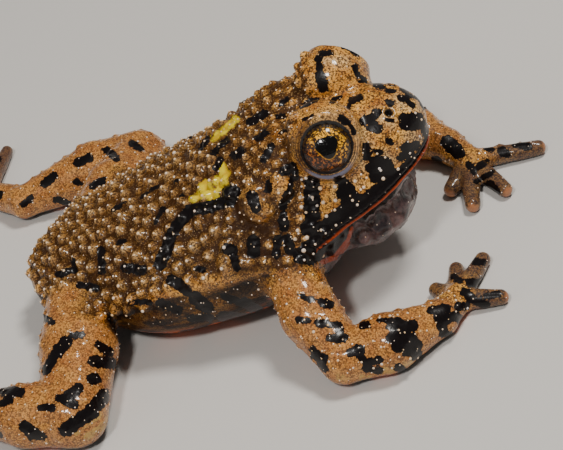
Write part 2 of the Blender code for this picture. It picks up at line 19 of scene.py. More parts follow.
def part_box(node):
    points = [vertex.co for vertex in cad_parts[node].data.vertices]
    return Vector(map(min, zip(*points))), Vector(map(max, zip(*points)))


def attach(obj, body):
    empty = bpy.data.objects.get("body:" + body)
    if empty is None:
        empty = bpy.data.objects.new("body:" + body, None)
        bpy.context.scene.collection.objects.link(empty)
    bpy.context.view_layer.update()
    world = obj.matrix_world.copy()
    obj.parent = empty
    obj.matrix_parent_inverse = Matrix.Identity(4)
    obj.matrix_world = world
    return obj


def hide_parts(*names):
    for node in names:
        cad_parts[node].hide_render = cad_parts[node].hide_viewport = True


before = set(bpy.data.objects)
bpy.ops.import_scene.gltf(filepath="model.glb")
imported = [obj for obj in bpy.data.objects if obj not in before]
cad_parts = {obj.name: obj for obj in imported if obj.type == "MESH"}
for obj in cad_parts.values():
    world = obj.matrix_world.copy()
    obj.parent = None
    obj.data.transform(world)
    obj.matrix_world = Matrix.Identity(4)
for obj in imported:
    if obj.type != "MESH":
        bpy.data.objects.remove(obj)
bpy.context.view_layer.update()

bl_info = {
    "name": "Fire-bellied toad",
    "version": (1, 0, 0),
    "blender": (4, 5, 0),
    "location": "View3D > Sidebar > Toad",
    "description": "Builds the skin, eyes and wart tips of a life-size toad round its solids",
    "category": "Add Mesh",
}

MM = 0.001
# Stands for lengths too small to divide by
TINY = 1e-6
SEED = 7
BODY = "root"
FLESH_NODES = ["head", "throat", "torso"] + [
    section + side
    for section in ("upper_arm_", "forearm_", "hand_", "thigh_", "shank_", "foot_")
    for side in ("left", "right")
]

# The camera, in the toad's millimetres, and the picture it is matched to, in pixels
CAMERA_PLACE = (46.7, -144.7, 121.7)
CAMERA_TARGET = (-4.4, -2.3, 6.8)
CAMERA_ROLL = -21.4
LENS = 144.7
SENSOR = 36.0
PICTURE = (563.0, 450.0)

# Eyes: place of the ball, its radius, the lids' radius, the way the opening faces, half angles of
# the opening and of its rim
EYE_PLACE = (2.3, 4.35, 15.85)
EYE_RADIUS = 2.5
LID_RADIUS = 2.85
EYE_GAZE = (0.28, 0.86, 0.42)
EYE_OPENING = 51.0
LID_RIM = 10.0

# Mouth: height of its line where x is 0, its rise for each millimetre forward, the centre of its
# arc, the half sizes of the arc, and the height and width of the swelling along it
MOUTH_HEIGHT = 8.8
MOUTH_RISE = 0.32
MOUTH_CENTRE_X = -1.7
MOUTH_REACH = (10.7, 7.5)
LIP_HEIGHT = 0.16
LIP_WIDTH = 0.8
LIP_SHARES = (0.8, 1.25)
MOUTH_ENDS_X = -0.5

NOSTRIL_PLACE = (7.4, 1.75, 16.0)
NOSTRIL_RADIUS = 0.34

# Ellipsoids: centre, half sizes ahead, aside, above and below, pitch in degrees with the nose up,
# softness of the join. Those with y above 0 stand on both sides.
HEAD_FORMS = [
    ((-1.7, 0.0, 8.6), (11.0, 7.5, 6.9, 1.5), 16.0, 0.0),
    ((4.6, 0.0, 13.3), (5.2, 4.2, 3.5, 3.2), 8.0, 1.5),
    ((-1.2, 3.4, 8.6), (3.6, 4.1, 3.0, 2.8), 14.0, 1.2),
    ((1.1, 0.0, 8.5), (6.7, 5.9, 1.8, 2.2), 16.0, 0.5),
    ((-2.2, 2.9, 13.9), (3.8, 3.4, 3.0, 3.0), 25.0, 1.5),
    ((2.1, 3.5, 16.5), (3.0, 2.6, 2.7, 2.6), 0.0, 0.8),
]
TRUNK_FORMS = [
    ((-5.5, 0.0, 7.6), (8.0, 8.8, 6.8, 6.8), 22.0, 0.0),
    ((-13.0, 0.0, 5.4), (11.0, 9.7, 6.4, 6.4), 10.0, 4.0),
    ((-22.0, 0.0, 4.4), (6.6, 5.6, 4.2, 4.2), 8.0, 3.0),
]
THROAT_FORMS = [
    ((2.4, 0.0, 6.3), (4.5, 4.2, 3.3, 3.3), 14.0, 0.8),
    ((2.3, 3.7, 5.9), (1.1, 1.1, 1.0, 1.0), 0.0, 0.2),
    ((3.9, 3.4, 6.1), (1.0, 1.1, 1.1, 1.1), 0.0, 0.2),
    ((4.7, 1.9, 6.9), (2.0, 1.8, 1.7, 1.9), 14.0, 0.3),
]
LID_SOFTNESS = 0.9
NECK_SOFTNESS = 3.0
LIMB_ROOT_SOFTNESS = 1.0
LIMB_SOFTNESS = 0.4

# The ridge along each side, where the warty back ends: x and height along it, how far it stands
# out, half its width, and the length over which it fades at both ends
RIDGE = [(-21.0, 5.0), (-19.5, 5.7), (-14.0, 7.4), (-11.5, 7.6), (-4.5, 8.3), (-1.6, 8.1)]
RIDGE_HEIGHT = 0.35
RIDGE_WIDTH = 0.7
RIDGE_FADE = 2.5

# Limbs: place of each joint and the radius of the flesh there, y outward
ARM_JOINTS = {
    "right": [
        ((-3.4, 7.2, 6.6), 2.3),
        ((-1.7, 11.2, 4.2), 2.45),
        ((0.9, 14.6, 2.15), 2.1),
        ((4.5, 13.7, 2.2), 2.45),
        ((8.4, 10.9, 1.5), 1.5),
        ((9.6, 8.4, 1.0), 1.25),
    ],
    "left": [
        ((-3.4, 7.2, 6.6), 2.3),
        ((-1.7, 11.3, 4.2), 2.45),
        ((1.0, 14.8, 2.15), 2.1),
        ((4.3, 13.9, 2.2), 2.45),
        ((7.8, 11.6, 1.5), 1.5),
        ((9.8, 9.6, 1.0), 1.25),
    ],
}
LEG_JOINTS = {
    "right": [
        ((-23.4, 3.6, 4.6), 2.6),
        ((-22.4, 10.5, 3.6), 3.3),
        ((-21.9, 17.3, 2.7), 2.75),
        ((-26.3, 16.6, 2.6), 2.65),
        ((-33.2, 13.9, 1.7), 1.5),
        ((-38.1, 16.7, 1.1), 1.2),
    ],
    "left": [
        ((-23.4, 3.6, 4.6), 2.6),
        ((-22.3, 10.0, 3.6), 3.2),
        ((-21.6, 15.9, 2.6), 2.65),
        ((-26.0, 15.7, 2.5), 2.55),
        ((-33.1, 13.6, 1.7), 1.5),
        ((-38.1, 16.7, 1.1), 1.2),
    ],
}
FINGER_TIPS = {
    "right": [(7.7, 6.4), (9.3, 4.3), (11.5, 3.5), (13.2, 8.5)],
    "left": [(8.3, 6.4), (10.3, 3.9), (13.1, 5.2), (15.9, 10.2)],
}
FINGER_RADII = (0.95, 0.68)
TOE_TIPS = [(-37.5, 23.5), (-42.1, 25.2), (-47.3, 23.4), (-50.6, 19.2), (-46.7, 14.2)]
TOE_RADII = (0.95, 0.6)
WEB_REACH = 0.72
WEB_HALF_THICKNESS = 0.28
WEB_LIFT = 0.1

# Making of the skin's mesh: parts of the simple solids it starts from; the share by which vertices
# are evened out before each step onto the form, before and after faces are split; the reach over
# which the form's slope is taken and the least square of it that counts; how far round the eyes,
# lips and nostrils the faces are split
BALL_PARTS = (32, 16)
BONE_PARTS = 16
SETTLING = (0.5, 0.5, 0.4, 0.3, 0.2, 0.0, 0.0)
SETTLING_SPLIT = (0.3, 0.0)
SLOPE_STEP = 0.03
LEAST_SLOPE = 0.05
FINE_ROUND_EYE = 0.7
FINE_BY_LIP = 0.6
FINE_BY_NOSTRIL = 1.0

# Warts: smallest and largest radius, the room each keeps and its height for each radius, by
# region; how full their domes are, and how much rarer the large ones are than the small
NAPE_WARTS = (0.28, 0.50, 1.25, 0.85)
BACK_WARTS = (0.40, 0.66, 0.98, 0.85)
RIDGE_WARTS = (0.46, 0.64, 1.0, 0.9)
LIMB_WARTS = (0.22, 0.38, 2.0, 0.5)
WART_ROUNDNESS = 0.8
WART_SIZE_POWER = 1.5
# In a wart's radii: how far out it shapes the skin, and place, width and depth of the sunken ring
# round it
WART_REACH = 1.35
MOAT_PLACE = 1.1
MOAT_WIDTH = 0.2
MOAT_DEPTH = 0.10
# How much the large swellings behind the eye count as the top of a wart
MOUND_SWELL = 0.7

# Where the wart regions end: x, y and z are limits, two are how far up the skin must face. Then
# the height over the mouth and the share of the ridge from which there are warts, and the width of
# the bare ring round the lids
FACE_BEGINS_X = 0.8
NAPE_BEGINS_X = -6.5
RUMP_ENDS_X = -29.0
THIGH_ENDS_X = -21.0
THIGH_BEGINS_Y = 6.0
LIMB_BEGINS_Y = 9.4
FOOT_BEGINS_X = -34.0
LOWEST_WART = 1.2
LOWEST_FACE = 5.0
LIMB_FACES_UP = -0.2
BACK_FACES_UP = -0.1
NAPE_OVER_MOUTH = 0.3
RIDGE_WARTS_FROM = 0.3
WARTLESS_ROUND_EYE = 0.4

# Cells of the grids that keep warts, small tips and blotches apart
WART_CELL = 2.0
SPINULE_CELL = 1.5
BLOTCH_CELL = 4.0
# How far the waves of one seed lie from those of the next
WAVE_SHIFT = (17.3, 5.1, 9.7)

# Pale tips: the smallest and largest share of a wart's radius that a tip has, its largest radius,
# the share by which it may be smaller than that, the parts of its mesh, and how far round a place
# that was read the skin is searched for the nearest point. Small ones between the warts: how many
# are tried, their radii and the room round each, how far from the lids and the floor they keep and
# how far up the skin must face there
TIP_SHARES = (0.24, 0.34)
LARGEST_TIP = 0.18
TIP_UNEVENNESS = 0.35
TIP_PARTS = (8, 5)
TIP_SEARCH = 0.6
SPINULE_TRIES = 2600
SPINULE_RADII = (0.04, 0.085)
SPINULE_ROOM = 6.0
SPINULE_CLEAR = 0.1
LOWEST_SPINULE = 0.8
SPINULE_FACES_UP = -0.3

# Lids: height of the rim, how much more of it the upper lid has and how fast it falls off outward;
# depth of the fold round it, and its place and width in rims; how far the skin dives behind the
# ball; how far out from the lids the skin is shaped, and the widest angle of that, in rims
LID_RIM_HEIGHT = 0.10
LID_RIM_UPPER = 0.5
LID_RIM_FALL = 1.6
LID_CREASE = 0.06
LID_CREASE_PLACE = 1.15
LID_CREASE_WIDTH = 0.22
LID_DEPTH = 0.35
LID_REACH = 1.6
LID_WIDEST = 5.0

# Line of the mouth: its depth, its width and the length over which it begins. Swellings above and
# below it: height, distance and width. Red and black bands along it: how far below it their middle
# is, and half their width. Edge of the painted shade, black, in the line itself, as the two ends of
# a soft step.
MOUTH_DEPTH = 0.34
MOUTH_WIDTH = 0.13
MOUTH_FADE = 0.8
LIP_SWELLING = (0.07, 0.34, 0.16)
LIP_RED = (0.26, 0.09)
LIP_INK = (0.3, 0.85)
MOUTH_BLACK = (-0.2, -0.08)

# Nostrils, in their own radii: depth and width of the pit, height, place and width of the rim, and
# how far out the painted shade, black, in the pit goes
NOSTRIL_PIT = (1.5, 0.75)
NOSTRIL_RIM = (0.3, 1.5, 0.4)
NOSTRIL_BLACK = 1.1

# Folds of the throat: how deep they are, size and seed of their wave, and how it is drawn out
THROAT_FOLDS = 0.34
THROAT_WAVE = (1.5, 1)
THROAT_STRETCH = (1.0, 1.0, 0.6)

# The skin's slow unevenness: size and seed of a wide and a narrow wave, and the narrow one's share
WIDE_RIPPLE = (1.6, 1)
NARROW_RIPPLE = (0.7, 2)
NARROW_SHARE = 0.5

# Pupil, as shares of the eye's radius: its place, size, turn in degrees and three corners; its
# colour; parts of the eyeball's mesh round it and from top to bottom
PUPIL_PLACE = (-0.02, 0.11)
PUPIL_RADIUS = 0.355
PUPIL_TURN = 48.0
PUPIL_CORNERS = 0.13
PUPIL_BLACK = (0.002, 0.002, 0.002)
EYE_PARTS = (96, 64)

# Large swellings behind the eye: place in the picture, radius and height in millimetres
MOUNDS = [(256, 204, 1.75, 0.95), (281, 188, 1.15, 0.80), (231, 193, 0.74, 0.72), (226, 262, 0.9, 0.4)]

# Warts of the nape: place in the picture and radius in millimetres
NAPE_READ = [
    (248, 181, 0.48), (239, 173, 0.42), (230, 219, 0.45), (215, 231, 0.62), (194, 246, 0.66),
    (178, 250, 0.66), (178, 268, 0.62), (189, 280, 0.58), (206, 279, 0.70), (226, 266, 0.62),
    (242, 261, 0.46), (249, 262, 0.42), (265, 262, 0.44), (288, 261, 0.46), (302, 248, 0.50),
    (269, 245, 0.45), (285, 219, 0.45), (271, 210, 0.38), (262, 220, 0.34), (255, 218, 0.34),
    (258, 189, 0.36), (245, 211, 0.38), (279, 187, 0.40), (276, 164, 0.36), (266, 173, 0.34),
    (302, 196, 0.36), (302, 206, 0.38), (299, 231, 0.38), (291, 236, 0.30), (305, 238, 0.30),
    (304, 185, 0.28), (199, 224, 0.50), (209, 256, 0.55), (188, 229, 0.50), (222, 172, 0.40),
    (246, 157, 0.42), (254, 150, 0.36), (236, 142, 0.40), (249, 165, 0.34), (262, 145, 0.30),
]

# Single pale tips on the face, jaw and near arm: place in the picture and radius in millimetres
FACE_TIPS = [
    (378, 169, 0.13), (382, 179, 0.19), (397, 169, 0.16), (410, 154, 0.13), (355, 168, 0.14),
    (360, 174, 0.13), (343, 176, 0.20), (335, 186, 0.20), (321, 189, 0.24), (324, 201, 0.21),
    (336, 201, 0.18), (335, 209, 0.19), (326, 216, 0.17), (336, 224, 0.19), (365, 187, 0.22),
    (354, 182, 0.21), (360, 190, 0.15), (367, 177, 0.15), (384, 157, 0.16), (352, 201, 0.13),
    (358, 205, 0.17), (313, 196, 0.16), (317, 206, 0.14), (305, 213, 0.14), (320, 231, 0.14),
    (306, 238, 0.22), (303, 247, 0.26), (298, 231, 0.22), (295, 238, 0.2), (324, 257, 0.2),
    (302, 180, 0.16), (306, 178, 0.18), (302, 187, 0.14), (416, 112, 0.16), (410, 112, 0.12),
    (421, 120, 0.14), (419, 136, 0.14), (414, 158, 0.10), (376, 154, 0.12), (363, 153, 0.11),
    (380, 170, 0.14), (350, 196, 0.12), (301, 197, 0.20), (301, 206, 0.20), (398, 131, 0.12),
    # Arm: along its upper edge, its lower edge and between
    (353, 322, 0.15), (362, 321, 0.14), (371, 319, 0.15), (381, 318, 0.14), (389, 316, 0.15),
    (396, 315, 0.13), (408, 314, 0.14), (422, 307, 0.14), (431, 303, 0.15), (438, 298, 0.14),
    (450, 291, 0.13), (455, 301, 0.15), (468, 307, 0.15), (469, 317, 0.13), (472, 322, 0.14),
    (463, 329, 0.16), (453, 337, 0.15), (447, 343, 0.16), (439, 346, 0.14), (427, 353, 0.17),
    (418, 357, 0.15), (409, 358, 0.15), (399, 358, 0.13), (391, 368, 0.15), (383, 363, 0.13),
    (375, 368, 0.14), (361, 361, 0.13), (353, 368, 0.15), (339, 361, 0.14), (329, 361, 0.14),
    (322, 351, 0.13), (427, 330, 0.10), (405, 333, 0.11), (381, 348, 0.11), (351, 345, 0.13),
    (332, 345, 0.12), (313, 331, 0.15), (327, 326, 0.14), (305, 321, 0.13), (294, 312, 0.13),
    (275, 299, 0.14), (286, 304, 0.12), (300, 338, 0.14), (316, 313, 0.13), (298, 298, 0.13),
    (270, 312, 0.13), (258, 290, 0.13), (284, 322, 0.12),
]

# Strokes read off the picture, each a fat line: x and y of both ends and half its width, in pixels.
# The skin takes a stroke where it is no further than STROKE_DEPTH, in millimetres, before or behind
# the stroke's own places on it.
STROKE_DEPTH = 1.6
INK_STROKES = [
    # Far leg and far palm
    (24, 205, 31, 198, 3.4), (44, 184, 54, 176, 4.2), (56, 199, 68, 203, 3.4), (78, 163, 90, 157, 4.4),
    (92, 186, 103, 180, 3.6), (106, 150, 116, 158, 3.8), (132, 143, 141, 149, 3.4),
    (76, 181, 80, 184, 3.0), (468, 164, 474, 172, 3.0), (486, 148, 492, 150, 2.6),
    # Snout and brow
    (344, 46, 357, 54, 2.6), (322, 53, 331, 53, 2.8), (318, 59, 320, 72, 3.2), (320, 76, 323, 88, 5.2),
    (355, 67, 358, 74, 3.0), (358, 76, 364, 79, 2.6), (358, 82, 366, 81, 1.4), (367, 83, 372, 83, 1.2),
    (376, 85, 382, 87, 3.2), (383, 77, 386, 78, 1.8), (402, 89, 416, 98, 1.5), (418, 99, 425, 108, 1.8),
    (387, 91, 394, 91, 2.2), (388, 102, 391, 103, 3.4), (400, 98, 407, 98, 3.2),
    (407, 100, 413, 106, 2.8), (364, 122, 374, 116, 4.6), (374, 112, 378, 112, 3.4),
    (372, 126, 378, 129, 5.4), (386, 120, 392, 121, 2.2), (404, 119, 418, 118, 5.4),
    (405, 125, 420, 124, 6.2), (424, 129, 427, 138, 3.8), (389, 141, 391, 142, 3.8),
    (406, 148, 415, 146, 5.2), (401, 157, 411, 151, 4.8), (412, 158, 404, 168, 3.6),
    # Under and before the eye
    (366, 146, 367, 158, 3.6), (376, 151, 380, 152, 3.2), (375, 161, 386, 162, 5.4),
    (371, 168, 388, 167, 6.0), (376, 176, 392, 174, 7.2), (337, 180, 343, 180, 3.4),
    (344, 184, 350, 188, 5.8), (343, 192, 352, 196, 7.2), (346, 202, 361, 199, 5.8),
    (341, 119, 347, 122, 4.2), (349, 123, 354, 132, 2.8), (332, 101, 341, 97, 2.4),
    (353, 100, 359, 98, 3.8), (351, 103, 348, 108, 2.1), (302, 106, 316, 99, 3.0),
    (303, 120, 313, 114, 1.1),
    # Band along the lip
    (302, 256, 330, 232, 9.5), (330, 224, 352, 208, 9.0), (346, 213, 372, 196, 7.5),
    (366, 198, 390, 183, 6.4), (386, 185, 406, 168, 5.6), (402, 170, 415, 158, 4.0),
    (334, 248, 342, 240, 9.0), (310, 262, 322, 256, 4.0),
    # Cheek and nape
    (312, 183, 312, 214, 8.0), (308, 228, 318, 230, 8.0), (283, 171, 287, 169, 4.8),
    (293, 165, 296, 176, 3.4), (269, 184, 268, 190, 3.6), (291, 180, 290, 190, 2.8),
    (290, 192, 283, 205, 4.8), (283, 217, 284, 227, 5.2), (252, 196, 256, 207, 5.8),
    (253, 241, 254, 253, 6.2), (278, 238, 276, 254, 4.4), (288, 239, 289, 249, 5.4),
    (226, 249, 232, 250, 5.6), (233, 256, 237, 268, 4.0), (281, 104, 287, 99, 2.6),
    (250, 122, 264, 114, 4.4), (277, 117, 285, 117, 2.4), (257, 139, 266, 132, 3.4),
    (280, 133, 285, 131, 1.8), (271, 147, 264, 159, 4.0), (234, 156, 241, 151, 4.4),
    (213, 153, 227, 140, 3.2), (220, 160, 216, 168, 3.4), (201, 148, 208, 138, 2.6),
    # Wart and stripe behind the shoulder patch
    (230, 193, 233, 193, 8.0), (230, 202, 214, 205, 5.8), (214, 206, 190, 211, 6.0),
    (188, 213, 176, 226, 6.0), (175, 228, 168, 242, 5.6), (168, 246, 160, 264, 6.4),
    # Back
    (155, 222, 164, 208, 2.4), (142, 197, 147, 193, 1.9), (151, 190, 158, 186, 1.6),
    (174, 183, 178, 180, 2.0), (180, 198, 184, 194, 1.6), (113, 210, 125, 203, 2.2),
    (118, 243, 124, 241, 2.6), (101, 250, 102, 272, 3.6), (58, 274, 74, 270, 3.4),
    (126, 268, 142, 270, 5.0), (74, 260, 74, 264, 2.2), (172, 280, 186, 290, 6.0),
    (196, 269, 203, 270, 3.4), (80, 285, 96, 288, 3.6), (130, 303, 150, 302, 2.8),
    # Flank
    (195, 298, 208, 308, 6.4), (160, 303, 178, 310, 4.6), (224, 297, 240, 302, 3.8),
    (246, 303, 262, 314, 5.4), (222, 317, 250, 318, 4.8), (190, 318, 210, 318, 3.8),
    # Arm
    (298, 320, 307, 321, 3.4), (318, 323, 332, 325, 4.0), (338, 325, 340, 334, 4.6),
    (330, 338, 344, 338, 4.2), (363, 325, 367, 325, 4.4), (380, 320, 400, 320, 2.8),
    (392, 326, 412, 326, 6.2), (391, 337, 412, 338, 5.6), (398, 346, 416, 346, 6.4),
    (405, 353, 419, 353, 3.8), (415, 358, 420, 356, 2.8), (351, 352, 360, 349, 5.0),
    (361, 357, 366, 363, 4.0), (371, 362, 378, 360, 4.6), (365, 369, 380, 371, 3.2),
    (312, 349, 316, 352, 3.4), (316, 356, 323, 358, 5.2), (320, 362, 325, 369, 3.6),
    (399, 368, 402, 371, 4.8), (430, 310, 447, 308, 4.0), (438, 316, 448, 319, 5.4),
    (441, 326, 445, 332, 5.0), (442, 335, 450, 334, 3.0), (458, 307, 466, 306, 4.2),
    (455, 315, 462, 322, 4.4), (470, 323, 477, 319, 3.6), (301, 296, 312, 300, 3.0),
    (322, 302, 330, 305, 4.4), (453, 276, 460, 281, 3.4), (465, 292, 471, 298, 5.0),
    (470, 283, 480, 283, 4.6), (475, 262, 483, 262, 3.6), (478, 302, 486, 306, 4.4),
    (486, 296, 498, 294, 3.4),
    # Thigh and knee
    (70, 336, 82, 335, 3.4), (66, 342, 58, 352, 6.4), (54, 356, 46, 370, 4.6), (98, 345, 110, 352, 4.4),
    (94, 361, 112, 364, 5.6), (92, 379, 96, 379, 5.8), (78, 389, 68, 396, 6.0), (60, 398, 74, 405, 4.6),
    (40, 407, 52, 408, 3.4), (104, 396, 92, 410, 7.2), (92, 412, 66, 430, 7.0), (24, 426, 34, 432, 5.4),
    (30, 436, 42, 436, 4.4), (0, 391, 20, 392, 5.2), (0, 404, 10, 400, 3.4), (40, 316, 52, 322, 3.4),
    # Far arm
    (447, 142, 458, 152, 7.0), (436, 160, 442, 168, 4.6), (468, 138, 480, 145, 3.6),
    (502, 151, 506, 153, 4.6), (516, 144, 528, 147, 3.8), (478, 166, 486, 162, 3.2),
    (476, 182, 492, 172, 2.6), (490, 186, 494, 192, 6.0),
]
GREEN_STROKES = [
    (222, 167, 226, 173, 4.4), (217, 181, 222, 177, 3.2), (205, 187, 213, 197, 6.4),
    (193, 199, 200, 196, 3.6), (225, 184, 218, 188, 2.6), (236, 119, 226, 128, 3.4),
    (224, 131, 214, 138, 3.4),
]
YELLOW_STROKES = [
    (337, 375, 346, 378, 2.4), (360, 377, 371, 377, 1.8), (383, 372, 397, 370, 3.4),
    (405, 365, 414, 362, 2.8), (426, 354, 432, 352, 3.0), (441, 345, 449, 343, 2.4),
    (310, 243, 316, 240, 3.0), (104, 426, 88, 437, 3.4), (113, 405, 105, 424, 2.6),
    (100, 415, 76, 434, 2.6),
]
RED_STROKES = [
    (323, 262, 336, 257, 2.6), (336, 257, 347, 243, 3.2), (347, 243, 352, 228, 1.8),
]
# Painted shade, dark brown, in the hollows round the swelling behind the eye, at the eye's back and in
# the crease over the arm
SHADE_STROKES = [
    (240, 202, 241, 216, 4.6), (241, 216, 252, 227, 5.2), (252, 227, 271, 232, 4.4),
    (271, 232, 282, 222, 3.2), (262, 194, 272, 200, 2.4), (289, 143, 287, 160, 3.4),
    (287, 160, 294, 174, 3.4), (250, 246, 268, 254, 3.0), (236, 272, 262, 268, 3.2),
    (262, 268, 300, 265, 2.8),
]
# Painted highlights: where the skin of the head shows palest as the light catches it
HIGHLIGHT_STROKES = [
    (398, 100, 420, 110, 5.5), (372, 116, 392, 124, 3.5), (408, 131, 419, 143, 4.0),
    (358, 128, 366, 146, 4.5), (383, 152, 392, 161, 3.0), (355, 158, 368, 168, 3.5),
    (346, 186, 358, 180, 2.5), (316, 119, 336, 115, 2.6), (324, 60, 346, 62, 3.5),
    (334, 176, 338, 196, 2.5),
]
STROKES = {
    "ink": INK_STROKES, "green": GREEN_STROKES, "yellow": YELLOW_STROKES, "red": RED_STROKES,
    "shade": SHADE_STROKES, "bright": HIGHLIGHT_STROKES,
}

# What the skin's mesh tells its material about each point
SKIN_MARKS = (
    "ink", "green", "yellow", "red", "shade", "bright", "dark", "swell", "hollow", "back", "limb",
    "flank", "belly", "throat", "digit", "tip", "lid_out", "lid_right", "lid_up",
)
# What a mark holds where no stroke is near, and what a measure round eyes and digits holds elsewhere
UNMARKED = -1.0
ELSEWHERE = 9.0

# Black blotches where the camera doesn't look: how many are tried, their radii, the room round
# each, how far up the skin must face; how many places round one have to be hidden, and how far out
# they lie; lobes of one, their spread and sizes for its radius, and how far out they are measured
BLOTCH_TRIES = 2500
BLOTCH_RADII = (0.5, 1.5)
BLOTCH_ROOM = 1.45
BLOTCH_FACES_UP = -0.25
BLOTCH_LOOKS = 8
BLOTCH_ROUND = 1.5
BLOTCH_LOBES = 3
LOBE_SPREAD = 0.55
LOBE_SIZES = (0.5, 0.9)
LOBE_REACH = 1.0
# How far behind the skin seen in front of it a place lies that counts as hidden
HIDDEN_DEPTH = 0.6

# Where regions of colour begin, each as the two ends of a soft step. In millimetres: sideways from
# the trunk, back and sideways to the thighs, back and up to the warty back, back and down to the
# flank, down from the mouth to the throat. As how far down the skin faces: the belly.
SIDE_STEP = (9.4, 10.4)
RUMP_STEP = (21.0, 22.5)
THIGH_STEP = (5.5, 7.0)
BACK_STEPS = ((0.0, 7.0), (0.0, 1.2))
FLANK_STEPS = ((0.5, 3.0), (0.1, 0.8))
THROAT_STEP = (0.7, 1.1)
BELLY_STEP = (0.5, 0.75)
# The jaw: ahead of this x, within this y and above this z. How far out the lids' marks reach.
JAW_LIMITS = (-1.6, 7.6, 2.4)
LID_MARKS_REACH = 1.2
# Soft steps where a wart rises out of the low skin round it, ending the painted shade of the hollows, and
# where the painted shade in a nostril's pit ends
HOLLOW_STEP = (0.0, 0.35)
PIT_STEP = (-0.1, 0.05)
# The most digits on a limb, and how far round the end of one its tip is measured, in its radii
MOST_DIGITS = 5
DIGIT_TIP_REACH = 2.0

# Stage, in metres: half the floor's size, and the share of its brightness that its clouds keep;
# place, size and colour of each light; colour of the light from all round; how near and how far the
# camera sees
FLOOR_SIZE = 1.5
FLOOR_CLOUDS = 0.97
LIGHTS = {
    "key": ((0.16, 0.04, 0.36), 0.07, (1.0, 0.96, 0.90)),
    "front": ((0.01, -0.24, 0.33), 0.045, (1.0, 0.97, 0.93)),
    "fill": ((-0.26, -0.24, 0.22), 0.30, (1.0, 0.97, 0.93)),
}
SKY_COLOUR = (1.0, 0.98, 0.95, 1.0)
CAMERA_CLIP = (0.01, 10.0)


# Places

def mirrored(place, side):
    """Turn a place given with y outward into one on the left (side 1) or the right (side -1)."""
    return np.array([place[0], place[1] * side, place[2]], dtype=float)


def folded(points):
    """Bring points of both sides onto the left one."""
    return np.stack([points[:, 0], np.abs(points[:, 1]), points[:, 2]], axis=1)


def bell(value, width):
    """1 where the value is 0, falling off to nothing within a few widths."""
    return np.exp(-(value / width) ** 2)


def unit(vector):
    vector = np.array(vector, dtype=float)
    return vector / np.linalg.norm(vector)


def frame_shift():
    """From the toad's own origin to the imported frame's, in metres, by the right eye."""
    low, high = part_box("eye_right")
    middle = (np.array(low) + np.array(high)) / 2.0
    return middle - mirrored(EYE_PLACE, -1) * MM


FRAME_SHIFT = frame_shift()


def to_frame(points):
    """From the toad's millimetres to the frame's metres."""
    return np.asarray(points) * MM + FRAME_SHIFT


def camera_axes():
    """Right, up and back of the camera, as rows."""
    back = Vector(CAMERA_PLACE) - Vector(CAMERA_TARGET)
    turn = back.to_track_quat("Z", "Y").to_matrix() @ Matrix.Rotation(math.radians(CAMERA_ROLL), 3, "Z")
    return np.array(turn).T


CAMERA_AXES = camera_axes()
FOCAL = LENS / SENSOR * PICTURE[0]


def picture_ray(pixel):
    """Direction from the camera through a point of the picture."""
    right, up, back = CAMERA_AXES
    across = (pixel[0] - PICTURE[0] / 2.0) / FOCAL
    down = (pixel[1] - PICTURE[1] / 2.0) / FOCAL
    return unit(right * across - up * down - back)


def picture_places(points):
    """Where points in the toad's millimetres show in the picture, and their distance in depth."""
    seen = (points - np.array(CAMERA_PLACE)) @ CAMERA_AXES.T
    depth = -seen[:, 2]
    across = PICTURE[0] / 2.0 + FOCAL * seen[:, 0] / depth
    down = PICTURE[1] / 2.0 - FOCAL * seen[:, 1] / depth
    return np.stack([across, down], axis=1), depth


# The smooth form of the body: each function gives the distance of points from a surface

def ball_distance(points, centre, radius):
    return np.linalg.norm(points - centre, axis=1) - radius


def lid_distance(points):
    """Distance of points from the lids of the left eye."""
    return ball_distance(points, EYE_PLACE, LID_RADIUS)


def bone_distance(points, start, end, start_radius, end_radius):
    along = end - start
    share = np.clip((points - start) @ along / (along @ along), 0.0, 1.0)
    nearest = start + share[:, None] * along
    return np.linalg.norm(points - nearest, axis=1) - (start_radius + (end_radius - start_radius) * share)


def ellipsoid_distance(points, centre, half_sizes, pitch):
    turn = math.radians(pitch)
    local = points - np.array(centre)
    ahead = local[:, 0] * math.cos(turn) + local[:, 2] * math.sin(turn)
    above = local[:, 2] * math.cos(turn) - local[:, 0] * math.sin(turn)
    local = np.stack([ahead, local[:, 1], above], axis=1)
    sizes = np.tile(np.array(half_sizes[:3]), (len(points), 1))
    sizes[above < 0.0, 2] = half_sizes[3]
    near = np.linalg.norm(local / sizes, axis=1)
    slope = np.linalg.norm(local / sizes ** 2, axis=1)
    return near * (near - 1.0) / np.maximum(slope, TINY)


def sheet_distance(points, corners, half_thickness):
    """Distance from a flat triangular sheet."""
    a, b, c = corners
    normal = unit(np.cross(b - a, c - a))
    inside = np.ones(len(points), dtype=bool)
    edges = np.full(len(points), np.inf)
    for start, end in ((a, b), (b, c), (c, a)):
        along = end - start
        inside &= (points - start) @ np.cross(normal, along) >= 0.0
        share = np.clip((points - start) @ along / (along @ along), 0.0, 1.0)
        edges = np.minimum(edges, np.linalg.norm(points - (start + share[:, None] * along), axis=1))
    return np.where(inside, np.abs((points - a) @ normal), edges) - half_thickness


def blend(first, second, softness):
    """Join two forms with a soft valley between them."""
    share = np.clip(0.5 + 0.5 * (second - first) / softness, 0.0, 1.0)
    return second + (first - second) * share - softness * share * (1.0 - share)


def digits(side, root, tips, radii):
    """Bones of the fingers or toes, which lie on the floor."""
    return [(root, mirrored((x, y, radii[1]), side), radii[0], radii[1]) for x, y in tips]


def chain_bones(side, joints):
    chain = [(mirrored(place, side), radius) for place, radius in joints]
    return [(a[0], b[0], a[1], b[1]) for a, b in zip(chain, chain[1:])]


def side_name(side):
    return "left" if side > 0 else "right"


def arm_bones(side):
    joints = ARM_JOINTS[side_name(side)]
    palm = mirrored(joints[-1][0], side)
    return chain_bones(side, joints) + digits(side, palm, FINGER_TIPS[side_name(side)], FINGER_RADII)


def leg_bones(side):
    joints = LEG_JOINTS[side_name(side)]
    sole = mirrored(joints[-1][0], side)
    return chain_bones(side, joints) + digits(side, sole, TOE_TIPS, TOE_RADII)


